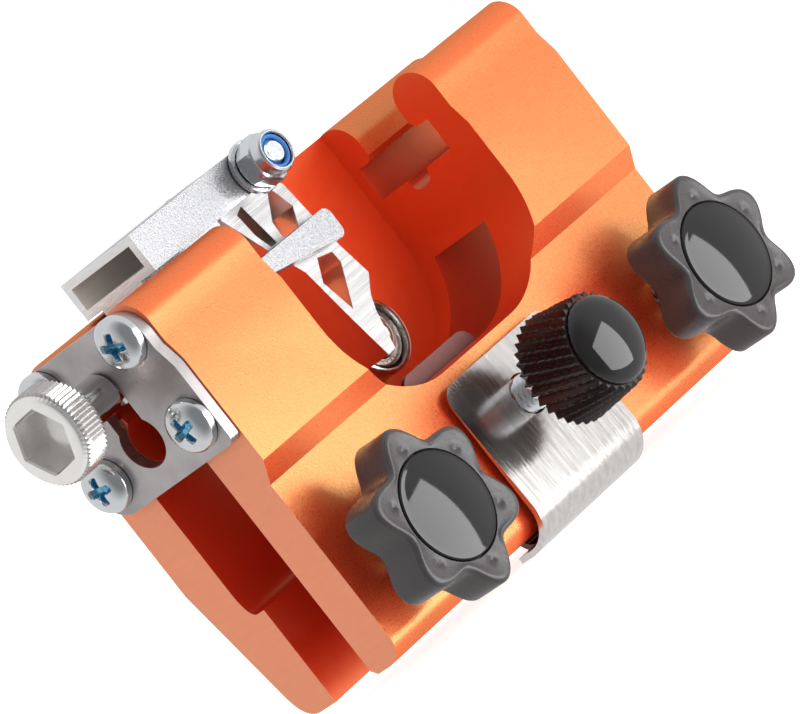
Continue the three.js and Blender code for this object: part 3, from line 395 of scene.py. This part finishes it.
def skin_of(name, grid, body, material, crease=38):
    """Quads between the neighbouring points of a grid of rings: the last column joins the first,
    and a ring that has shrunk to a point closes its end."""
    rings, columns, _ = grid.shape
    row = np.arange(rings - 1)[:, None] * columns
    column = np.arange(columns)[None, :]
    following = (column + 1) % columns
    quads = np.stack([row + column, row + following, row + columns + following,
                      row + columns + column], -1)
    mesh = bpy.data.meshes.new(name)
    mesh.from_pydata(grid.reshape(-1, 3).tolist(), [], quads.reshape(-1, 4).tolist())
    work = bmesh.new()
    work.from_mesh(mesh)
    bmesh.ops.remove_doubles(work, verts=work.verts, dist=2e-7)
    bmesh.ops.recalc_face_normals(work, faces=work.faces)
    work.to_mesh(mesh)
    work.free()
    mesh.shade_smooth()
    mesh.set_sharp_from_angle(angle=math.radians(crease))
    mesh.materials.append(material)
    piece = add_object(name, mesh)
    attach(piece, body)
    return piece


def centre_of(node):
    """The middle of a node's box."""
    return [(low + high) / 2 for low, high in zip(*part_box(node))]


def pan_head(turn, turn_by):
    """Heights and radii of a pan head. Its crown falls from the middle to the rim with the 2.6th
    power of the radius, and rounds off there by the root of what is left. A cross recess is
    taken from it: the deeper of two arms, each with sloped sides and tapered to its ends."""
    radius = (SCREW_HEAD * np.sin(np.linspace(0, math.pi / 2, SCREW_RINGS)) ** 0.9)[:, None]
    crown = SCREW_RIM + (SCREW_CROWN - SCREW_RIM) * (1 - (radius / SCREW_HEAD) ** 2.6) ** 0.62
    u, v = radius * np.cos(turn - turn_by), radius * np.sin(turn - turn_by)

    def arm(a, b):
        side = np.clip((ARM_HALF - np.abs(a)) / ARM_SLOPE, 0, 1)
        end = np.clip((ARM_REACH - np.abs(b)) / ARM_TAPER, 0, 1)
        return side * end * (1.0 - 0.25 * np.abs(b) / ARM_REACH)

    top = crown - ARM_DEEP * np.maximum(arm(u, v), arm(v, u))
    height, under = spread([(0, SCREW_HEAD), (0, SCREW_SHANK), (-SCREW_SHANK_LENGTH, SCREW_SHANK),
                            (-SCREW_SHANK_LENGTH, 0)], turn)
    radius = np.concatenate([np.broadcast_to(radius, top.shape), under])
    return np.concatenate([top, height]), radius


zinc = finish("zinc_plate", (0.74, 0.76, 0.78, 1), metallic=1.0, roughness=0.21, grain=(1800, 300),
              tint=0.08, rough_swing=0.03, bump=0.02)
screw_zinc = finish("zinc_screw", (0.72, 0.74, 0.76, 1), metallic=1.0, roughness=0.20,
                    grain=(1800, 300), tint=0.08, rough_swing=0.03, bump=0.015)
tree = screw_zinc.node_tree
link = tree.links.new
base = tree.nodes["Principled BSDF"].inputs["Base Color"]
plating = base.links[0].from_socket
# The points that the recess attribute marks take the painted blue reflection.
recess = add_node(tree, "ShaderNodeAttribute", attribute_name="recess")
blue = add_node(tree, "ShaderNodeMix", {COLOUR_B: RECESS_REFLECTION_BLUE}, data_type="RGBA")
link(recess.outputs["Fac"], blue.inputs[0])
link(plating, blue.inputs[COLOUR_A])
link(blue.outputs[COLOUR_MIX], base)

turn = turns(SCREW_COLUMNS)
for number, turn_by in SCREW_TURNS.items():
    node = f"plate_screw_{number}"
    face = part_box(node)[0].x
    _, y, z = centre_of(node)
    height, radius = pan_head(turn, turn_by)
    grid = np.stack([face + SCREW_CROWN - height, y + radius * np.cos(turn),
                     z + radius * np.sin(turn)], -1)
    screw = skin_of(f"pan_head_screw_{number}", grid, "body_frame", screw_zinc,
                    crease=50)
    points = np.empty(len(screw.data.vertices) * 3, np.float32)
    screw.data.vertices.foreach_get("co", points)
    points = points.reshape(-1, 3)
    painted_reflection_points = points[:, 0] - face > BLUE_FROM
    painted_reflection_points &= np.hypot(points[:, 1] - y, points[:, 2] - z) < BLUE_REACH
    tint = screw.data.attributes.new("recess", "FLOAT", "POINT")
    tint.data.foreach_set("value", painted_reflection_points.astype(np.float32))
    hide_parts(node)

# Feed screw: turned steel, its head knurled and broached with a hexagon. A neck behind the
# head drops into the plate's keyhole, and a fine thread runs on into the carriage.
FEED_HEAD, FEED_HEAD_LONG, FEED_RIDGES, FEED_RIDGE_DEPTH = 0.0072, 0.0056, 60, 0.00032
FEED_SOCKET, FEED_SOCKET_DEEP, FEED_SOCKET_TURN = 0.0050, 0.0042, math.radians(-5)
FEED_NECK, FEED_GROOVE, FEED_GROOVE_AT, FEED_GROOVE_END = 0.0032, 0.0025, 0.0145, 0.0170
FEED_THREAD_AT, FEED_PITCH, FEED_CREST, FEED_THREAD_DEPTH = 0.0200, 0.001, 0.0024, 0.0003
FEED_KNURL_FROM = 0.0066                  # radius past which a face of the head is knurled


def hexagon(turn, corner, turn_by):
    """Distance from the middle of a hexagon to its edge: the flat's distance over the cosine of
    the turn from the nearest flat."""
    sixth = math.pi / 3
    return corner * math.cos(sixth / 2) / np.cos(np.mod(turn - turn_by, sixth) - sixth / 2)


def zigzag(phase):
    """A ridge that falls and rises evenly once for each whole number of the phase, from 1 to 0
    and back."""
    return np.abs(2 * np.mod(phase, 1) - 1)


def threaded(start, end, radius, depth, pitch, turn, steps=8):
    """Rings of a thread: the radius less a zigzag that winds once round for each pitch."""
    return [(height, radius - depth * zigzag(height / pitch + turn / (2 * math.pi)))
            for height in np.arange(start, end, pitch / steps)]


def feed_screw_rings(face, end, turn):
    """Rings of (distance along the axis, radius) from the socket's floor to the thread's end.
    The knurl is the head's radius less a zigzag round it."""
    socket = hexagon(turn, FEED_SOCKET, FEED_SOCKET_TURN)
    knurl = FEED_HEAD - FEED_RIDGE_DEPTH * zigzag(turn * FEED_RIDGES / (2 * math.pi))
    rings = [(FEED_SOCKET_DEEP + 0.0005, 0), (FEED_SOCKET_DEEP, 0.0022),
             (FEED_SOCKET_DEEP, socket), (0.0003, socket), (0, socket + 0.00022)]
    rings += [(0, 0.0061), (0.0001, 0.0064), (0.0006, 0.0068)]
    rings += [(at, knurl) for at in np.linspace(0.0010, 0.0048, 5)]
    rings += [(FEED_HEAD_LONG - 0.0002, 0.0066), (FEED_HEAD_LONG, 0.0062)]
    rings += [(FEED_HEAD_LONG, FEED_NECK + 0.0005), (FEED_HEAD_LONG + 0.0005, FEED_NECK),
              (FEED_GROOVE_AT - 0.0003, FEED_NECK), (FEED_GROOVE_AT - 0.0001, 0.0030)]
    rings += [(FEED_GROOVE_AT, FEED_GROOVE), (FEED_GROOVE_END, FEED_GROOVE)]
    rings += [(FEED_GROOVE_END + 0.0001, 0.0031), (FEED_THREAD_AT - 0.0005, FEED_NECK),
              (FEED_THREAD_AT - 0.0003, FEED_CREST)]
    rings = [(face + at, radius) for at, radius in rings]
    rings += threaded(face + FEED_THREAD_AT, end - 0.0005, FEED_CREST, FEED_THREAD_DEPTH,
                      FEED_PITCH, -turn, steps=6)
    return rings + [(end - 0.0003, 0.0020), (end, 0.0016), (end, 0)]


turned_steel = finish("turned_steel", (0.94, 0.91, 0.89, 1), metallic=0.95, roughness=0.22,
                      grain=(2600, 300), tint=0.08, rough_swing=0.04, bump=0.02)
knurled_steel = finish("knurled_steel", (0.50, 0.48, 0.47, 1), metallic=0.9, roughness=0.26,
                       grain=(2200, 900), tint=0.20, rough_swing=0.06, bump=0.03)
ground_steel = finish("ground_steel", (0.72, 0.70, 0.68, 1), metallic=1.0, roughness=0.15,
                      grain=(2200, 500), tint=0.08, rough_swing=0.02, bump=0.01)
low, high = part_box("feed_screw")
_, y, z = centre_of("feed_screw")
turn = turns(FEED_RIDGES * 4)
along, radius = spread(feed_screw_rings(low.x, high.x, turn), turn)
grid = np.stack([along, y + radius * np.cos(turn), z + radius * np.sin(turn)], -1)
feed = skin_of("knurled_feed_screw", grid, "feed", turned_steel, crease=28)
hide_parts("feed_screw")
_, middles = faces_of(feed.data)
on_head = middles[:, 0] < low.x + FEED_HEAD_LONG - 0.0001
knurled = on_head & (np.hypot(middles[:, 1] - y, middles[:, 2] - z) > FEED_KNURL_FROM)
dress(feed, (knurled_steel, ground_steel), knurled * 1 + ~on_head * 2)

# Carriage: sawn from a bare aluminium extrusion and milled open for the tooth stop. Its
# drawn faces are bright and finely blasted, and its sawn ends carry the saw's lines.
CUT_EDGE, CUT_CREASE = 0.0002, 25
SAW_FACED = 0.9                           # a sawn face's normal lies this much along its axis
HOLLOW_HALF, HOLLOW_DEPTH, HOLLOW_LIP = 0.0075, 0.0055, 0.0008

drawn_aluminium = finish("drawn_aluminium", (0.40, 0.40, 0.415, 1), metallic=0.9, roughness=0.30,
                         grain=(5200, 3600), tint=0.50, rough_swing=0.12, bump=0.12)
sawn_aluminium = finish("sawn_aluminium", (0.95, 0.93, 0.91, 1), metallic=0.9, roughness=0.36,
                        lines=(900, 900, 5200), tint=0.14, rough_swing=0.12, bump=0.25)
# The hollow's faces get a pale, warm, nearly non-metal finish: painted light, standing for the
# light and the body's red glow that reach inside the hollow.
painted_light_bore = finish("painted_light_bore", (0.99, 0.91, 0.85, 1), metallic=0.1, roughness=0.45,
                        lines=(160, 3600, 3600), tint=0.12, rough_swing=0.12, bump=0.20)
carriage = edged("stop_carriage", "carriage_extrusion", "carriage", CUT_EDGE,
                 CUT_CREASE)
normals, middles = faces_of(carriage.data)
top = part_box("stop_carriage")[1].z
sawn = np.abs(normals[:, 0]) > SAW_FACED
# The faces of the hollow take the painted light.
hollow = ~sawn & (np.abs(middles[:, 1] - centre_of("stop_carriage")[1]) < HOLLOW_HALF)
hollow &= (middles[:, 2] > top - HOLLOW_DEPTH) & (middles[:, 2] < top - HOLLOW_LIP)
dress(carriage, (drawn_aluminium, sawn_aluminium, painted_light_bore), sawn * 1 + hollow * 2)

# Tooth stop: a slice sawn from a truss-shaped extrusion, 9 mm thick, drilled for its bolt.
# Its two broad faces show the saw, and its edges are as drawn.
sliced_aluminium = finish("sliced_aluminium", (0.47, 0.465, 0.465, 1), metallic=0.9,
                          roughness=0.33, lines=(60, 300, 6500), tint=0.42, rough_swing=0.12,
                          bump=0.20)
edge_aluminium = finish("edge_aluminium", (0.88, 0.87, 0.86, 1), metallic=1.0, roughness=0.22,
                        grain=(900, 200), tint=0.04, rough_swing=0.02, bump=0.01)
pawl = edged("tooth_stop", "truss_pawl", "stop", CUT_EDGE, CUT_CREASE)
normals, _ = faces_of(pawl.data)
dress(pawl, (edge_aluminium, sliced_aluminium), np.abs(normals[:, 1]) > SAW_FACED)

# Cross bolt with its washer and lock nut: zinc-plated steel. The bolt's low head bears on
# the carriage's back. The nut's round collar is rolled over a blue nylon ring.
NUT_CORNER, NUT_TURN, NUT_BORE, NUT_COLUMNS = 0.0040, math.radians(30), 0.00215, 96
NUT_ROUND, NUT_COLLAR = 0.0037, 0.00335
BOLT_HEAD, BOLT_SOCKET, BOLT_SOCKET_DEEP = 0.0036, 0.0017, 0.0009
BOLT_RADIUS, BOLT_THREADED, BOLT_COLUMNS = 0.0020, 0.0085, 64
BOLT_PITCH, BOLT_THREAD_DEPTH = 0.0007, 0.00026


def front_piece(name, rings, node, body, material, columns=64, crease=30, axis_of=None):
    """A piece on an axis along -Y. Its rings are (height, radius) pairs, and its points are
    the axis plus the radius times the turn's cosine and sine, at the height out of the node's
    back face. The axis runs through the middle of the node, or of the one it is given."""
    turn = turns(columns)
    height, radius = spread(rings, turn)
    x, _, z = centre_of(axis_of or node)
    grid = np.stack([x + radius * np.cos(turn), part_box(node)[1].y - height,
                     z + radius * np.sin(turn)], -1)
    piece = skin_of(name, grid, body, material, crease)
    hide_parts(node)
    return piece


def ring_of(inner, outer, thickness, edge):
    """A flat ring's section: its corners are cut back by an edge, and it ends where it began."""
    return [(edge, inner), (0, inner + edge), (0, outer - edge), (edge, outer),
            (thickness - edge, outer), (thickness, outer - edge), (thickness, inner + edge),
            (thickness - edge, inner), (edge, inner)]


front_piece("pivot_washer_ring", ring_of(0.0023, 0.0042, 0.0009, 0.00012), "pivot_washer",
            "carriage", zinc)

flats = hexagon(turns(NUT_COLUMNS), NUT_CORNER, NUT_TURN)
rounded = np.minimum(flats, NUT_ROUND)
nut_rings = [(0.0003, NUT_BORE), (0, 0.0024), (0, np.minimum(flats, 0.00345)),
             (0.0002, rounded), (0.0005, flats), (0.0027, flats), (0.0031, rounded),
             (0.0033, 0.00338), (0.0034, NUT_COLLAR), (0.0045, NUT_COLLAR), (0.0049, 0.0032),
             (0.0051, 0.00295), (0.0051, 0.0028), (0.00485, 0.00268), (0.0047, 0.0029),
             (0.0035, 0.0029), (0.0035, NUT_BORE), (0.0003, NUT_BORE)]
front_piece("collared_lock_nut", nut_rings, "stop_lock_nut", "carriage", zinc,
            columns=NUT_COLUMNS)

blue_nylon = finish("blue_nylon", (0.035, 0.16, 0.46, 1), metallic=0.0, roughness=0.38,
                    grain=(1500, 400), tint=0.15, rough_swing=0.08, bump=0.10)
front_piece("nylon_insert", ring_of(0.0021, 0.0027, 0.0010, 0.0002), "lock_nut_ring",
            "carriage", blue_nylon)

turn = turns(BOLT_COLUMNS)
socket = hexagon(turn, BOLT_SOCKET, 0)
low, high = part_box("stop_pivot_bolt")
reach = high.y - low.y
bolt_rings = [(BOLT_SOCKET_DEEP, 0), (BOLT_SOCKET_DEEP, socket), (0.0001, socket),
              (0, socket + 0.0001), (0, 0.0024), (0.0003, 0.0030), (0.0008, 0.0034),
              (0.0013, BOLT_HEAD), (0.0016, BOLT_HEAD), (0.0016, BOLT_RADIUS + 0.0001),
              (0.0018, BOLT_RADIUS), (reach - BOLT_THREADED, BOLT_RADIUS)]
bolt_rings += threaded(reach - BOLT_THREADED + 0.0002, reach - 0.0005, BOLT_RADIUS,
                       BOLT_THREAD_DEPTH, BOLT_PITCH, turn)
bolt_rings += [(reach - 0.0003, 0.0017), (reach, 0.0015), (reach, 0)]
front_piece("cross_bolt", bolt_rings, "stop_pivot_bolt", "carriage", zinc,
            columns=BOLT_COLUMNS)

# Guide bearing: a small ball race with a pressed shield, on a pin riveted through the back
# wall. It rolls on the guide bar's edge. Outer ring, shield and inner ring are polished steel.
RACE_OUTER, RACE_INNER = 0.0060, 0.00495
PIN_RADIUS = 0.0020

polished_steel = finish("polished_steel", (0.62, 0.60, 0.58, 1), metallic=1.0, roughness=0.17,
                        grain=(1200, 260), tint=0.12, rough_swing=0.06, bump=0.03)
worn_shield = finish("worn_shield", (0.50, 0.47, 0.44, 1), metallic=1.0, roughness=0.34,
                     grain=(1600, 500), tint=0.30, rough_swing=0.12, bump=0.25)
race_rings = [(0.0006, 0.0051), (0, 0.0053), (0, 0.00565), (0.0001, 0.0059),
              (0.0004, RACE_OUTER), (0.0036, RACE_OUTER), (0.0039, 0.0059), (0.0040, 0.00565),
              (0.0040, 0.0053), (0.0036, 0.0051), (0.0030, RACE_INNER), (0.0010, RACE_INNER),
              (0.0006, 0.0051)]
front_piece("bearing_outer_race", race_rings, "guide_bearing_outer", "bearing_ring",
            polished_steel, columns=96)
shield_rings = [(0, 0.0035), (0, 0.0047), (0.0022, 0.0047), (0.0028, 0.0046), (0.0026, 0.0044),
                (0.0023, 0.0042), (0.0023, 0.0038), (0.0026, 0.0036), (0.0026, 0.0035),
                (0, 0.0035)]
front_piece("bearing_shield", shield_rings, "guide_bearing_shield", "body_frame",
            worn_shield, columns=72)
front_piece("bearing_inner_race", ring_of(0.00215, 0.0033, 0.0040, 0.0002),
            "guide_bearing_inner", "body_frame", polished_steel, columns=72)
low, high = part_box("guide_bearing_pin")
reach = high.y - low.y
pin_rings = [(0, 0), (0, 0.0017), (0.0002, PIN_RADIUS), (reach - 0.0006, PIN_RADIUS),
             (reach - 0.0006, 0.0026), (reach - 0.0004, 0.0026), (reach - 0.0001, 0.0022),
             (reach, 0.0015), (reach - 0.00015, 0.0008), (reach - 0.0002, 0)]
front_piece("bearing_pin", pin_rings, "guide_bearing_pin", "body_frame",
            polished_steel, columns=48)

# Clamp knobs: two six-lobed knobs moulded in black nylon round the head of a steel stud.
# Each has a round hub behind, shallow sink marks in its lobes, and a polished cap pressed in.
STAR_PHASES = {"left": math.radians(32), "right": math.radians(19)}
STAR_MIDDLE, STAR_SWING, STAR_DEEP, STAR_ROUND = 0.01165, 0.00165, 0.0108, 0.0009
STAR_INNER, STAR_FALL = 0.00855, 0.00022
SINK_AT, SINK_WIDE, SINK_DEEP = 0.0097, 0.0005, 0.00045
SEAT_DEEP, SEAT_RADIUS = 0.0014, 0.0070
HUB_RADIUS, HUB_DEEP, HUB_ROUND = 0.0065, 0.0034, 0.0008
STUD_HOLE, STUD_HOLE_DEEP = 0.0033, 0.0060
STAR_COLUMNS = 288
CAP_PROUD, CAP_DOME = 0.0002, 0.0011      # the cap's reach past its solid's, and its dome's height
STUD_RADIUS, STUD_PITCH, STUD_THREAD_DEPTH, STUD_COLUMNS = 0.0030, 0.001, 0.00045, 64

black_nylon = finish("black_nylon", (0.050, 0.044, 0.045, 1), metallic=0.0, roughness=0.32,
                     grain=(1700, 160), tint=0.20, rough_swing=0.08, bump=0.05)
polished_cap = finish("polished_cap", (0.010, 0.009, 0.009, 1), metallic=0.0, roughness=0.06,
                      grain=(900, 120), tint=0.2, rough_swing=0.02, bump=0.0)


def star_rings(turn, phase):
    """Rings of a star knob. The lobed radius is a middle value plus a swing that follows the
    cosine of six turns. From the rim in to the cap's seat the face falls by a sine, less a round
    dip that follows a bell curve, one under each lobe."""
    wave = np.cos(6 * (turn - phase))
    lobed = STAR_MIDDLE + STAR_SWING * wave
    rim = lobed - STAR_ROUND
    rings = [(STUD_HOLE_DEEP, 0), (STUD_HOLE_DEEP, STUD_HOLE), (0, STUD_HOLE),
             (0, HUB_RADIUS - 0.0004), (0.0004, HUB_RADIUS), (HUB_DEEP - 0.0003, HUB_RADIUS),
             (HUB_DEEP, HUB_RADIUS + 0.0003), (HUB_DEEP, rim)]
    corner = np.linspace(0, math.pi / 2, 6)
    rings += [(HUB_DEEP + HUB_ROUND * (1 - math.cos(a)), rim + STAR_ROUND * math.sin(a))
              for a in corner]
    rings += [(STAR_DEEP - STAR_ROUND + STAR_ROUND * math.sin(a), rim + STAR_ROUND * math.cos(a))
              for a in corner]
    for share in np.linspace(0, 1, 12)[1:]:
        radius = rim * (1 - share) + STAR_INNER * share
        dip = np.exp(-((radius - SINK_AT) / SINK_WIDE) ** 2) * np.clip(wave, 0, 1) ** 10
        fall = STAR_FALL * math.sin(math.pi * share / 2)
        rings.append((STAR_DEEP - fall - SINK_DEEP * dip, radius))
    return rings + [(STAR_DEEP - 0.0013, 0.0084), (STAR_DEEP - SEAT_DEEP, SEAT_RADIUS),
                    (STAR_DEEP - SEAT_DEEP, 0)]


def threaded_stud(name, node, body):
    """A metric stud on its node's axis: a thread for its whole length, less its ends, which are
    cut back to the thread's root."""
    low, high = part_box(node)
    length = high.y - low.y
    rings = [(0, 0), (0, STUD_RADIUS - 0.0008), (0.0005, STUD_RADIUS - 0.0003)]
    rings += threaded(0.0006, length - 0.0006, STUD_RADIUS, STUD_THREAD_DEPTH, STUD_PITCH,
                      turns(STUD_COLUMNS))
    rings += [(length - 0.0005, STUD_RADIUS - 0.0003), (length, STUD_RADIUS - 0.0008),
              (length, 0)]
    front_piece(name, rings, node, body, zinc, columns=STUD_COLUMNS)


for side, phase in STAR_PHASES.items():
    grip = f"{side}_clamp_grip"
    front_piece(f"star_knob_{side}", star_rings(turns(STAR_COLUMNS), phase),
                f"clamp_knob_{side}", grip, black_nylon,
                columns=STAR_COLUMNS, crease=40, axis_of=f"clamp_stud_{side}")
    low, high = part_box(f"clamp_knob_cap_{side}")
    cap_radius = (high.x - low.x) / 2 + CAP_PROUD
    rim = high.y - low.y - CAP_DOME
    cap_rings = [(0, 0), (0, cap_radius - 0.0002), (0.0002, cap_radius),
                 (rim - 0.0002, cap_radius), (rim, cap_radius - 0.0002)]
    cap_rings += [(rim + CAP_DOME * (1 - share ** 2), (cap_radius - 0.0004) * share)
                  for share in np.linspace(1, 0, 14)]
    front_piece(f"star_cap_{side}", cap_rings, f"clamp_knob_cap_{side}", grip,
                polished_cap, columns=96, crease=45)
    threaded_stud(f"threaded_stud_{side}", f"clamp_stud_{side}", f"{side}_clamp_shank")

# Depth knob: moulded round a stud of its own, with thirty-two sharp ridges that lean a little
# as they run forward, and a polished dome on a spigot. Turning it presses the clip's inner leg.
DEPTH_RIDGES, DEPTH_RIDGE, DEPTH_LEAN = 32, 0.00085, math.radians(22)
DEPTH_DEEP, DEPTH_BACK_RADIUS, DEPTH_FRONT_RADIUS = 0.0098, 0.0088, 0.0078
DEPTH_HOLE_DEEP = 0.0053
SPIGOT_RADIUS, SPIGOT_DEEP, SPIGOT_ROOM = 0.0048, 0.0022, 0.0002
DOME_HIGH, DOME_TRIM = 0.0031, 0.0002     # the dome's height, and how far it stays inside its solid

ridged_nylon = finish("ridged_nylon", (0.014, 0.009, 0.009, 1), metallic=0.0, roughness=0.22,
                      grain=(1400, 200), tint=0.25, rough_swing=0.08, bump=0.04)


def ridged(height, turn, trim=0.0):
    """A ring of ridges: each rises to a sharp crest, all lean round the knob in step with the
    height, and the knob narrows evenly towards its face."""
    share = height / DEPTH_DEEP
    crest = zigzag((turn - DEPTH_LEAN * share) * DEPTH_RIDGES / (2 * math.pi))
    radius = DEPTH_BACK_RADIUS + (DEPTH_FRONT_RADIUS - DEPTH_BACK_RADIUS) * share
    return height, radius - trim - DEPTH_RIDGE * (1 - crest ** 1.3)


turn = turns(DEPTH_RIDGES * 8)
depth_rings = [(DEPTH_HOLE_DEEP, 0), (DEPTH_HOLE_DEEP, STUD_HOLE), (0, STUD_HOLE), (0, 0.0074)]
depth_rings += [ridged(height, turn) for height in np.linspace(0.0001, DEPTH_DEEP - 0.0003, 22)]
depth_rings += [ridged(DEPTH_DEEP, turn, 0.0001), (DEPTH_DEEP, 0.0060),
                (DEPTH_DEEP, SPIGOT_RADIUS + SPIGOT_ROOM),
                (DEPTH_DEEP - SPIGOT_DEEP, SPIGOT_RADIUS + SPIGOT_ROOM),
                (DEPTH_DEEP - SPIGOT_DEEP, 0)]
front_piece("ridged_depth_knob", depth_rings, "depth_knob", "depth_grip",
            ridged_nylon, columns=len(turn), crease=35)
low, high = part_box("depth_knob_cap")
dome_radius = (high.x - low.x) / 2 - DOME_TRIM
rim = high.y - low.y - DOME_HIGH
dome_rings = [(0, 0), (0, SPIGOT_RADIUS), (rim, SPIGOT_RADIUS), (rim, dome_radius - 0.0001)]
dome_rings += [(rim + DOME_HIGH * math.sin(a), dome_radius * math.cos(a))
               for a in np.linspace(0.05, math.pi / 2, 24)]
front_piece("depth_dome", dome_rings, "depth_knob_cap", "depth_grip",
            polished_cap, columns=96, crease=60)
threaded_stud("threaded_depth_stud", "depth_stud", "depth_shank")

# Depth clip: spring stainless strip, 0.9 mm thick, blanked with round corners and bent round
# the front leg's foot, with the depth stud through it. It is brushed along its length. Its
# inner leg is painted a dark reddish brown: painted shade, and a painted reflection of the red
# body it faces.
CLIP_EDGE, CLIP_CREASE, CLIP_INNER = 0.00018, 25, 0.0015

brushed_stainless = finish("brushed_stainless", (0.72, 0.69, 0.67, 1), metallic=1.0,
                           roughness=0.16, lines=(4200, 4200, 40), tint=0.26, rough_swing=0.05,
                           bump=0.05)
# The inner leg's dark reddish brown is painted shade and painted red reflection.
painted_shade_stainless = finish("painted_shade_stainless", (0.17, 0.085, 0.080, 1), metallic=1.0,
                           roughness=0.40, lines=(5200, 5200, 110), tint=0.14, rough_swing=0.08,
                           bump=0.05)
clip = edged("depth_clip", "spring_clip", "body_frame", CLIP_EDGE,
             CLIP_CREASE)
_, middles = faces_of(clip.data)
dress(clip, (brushed_stainless, painted_shade_stainless),
      middles[:, 1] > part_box("depth_clip")[1].y - CLIP_INNER)
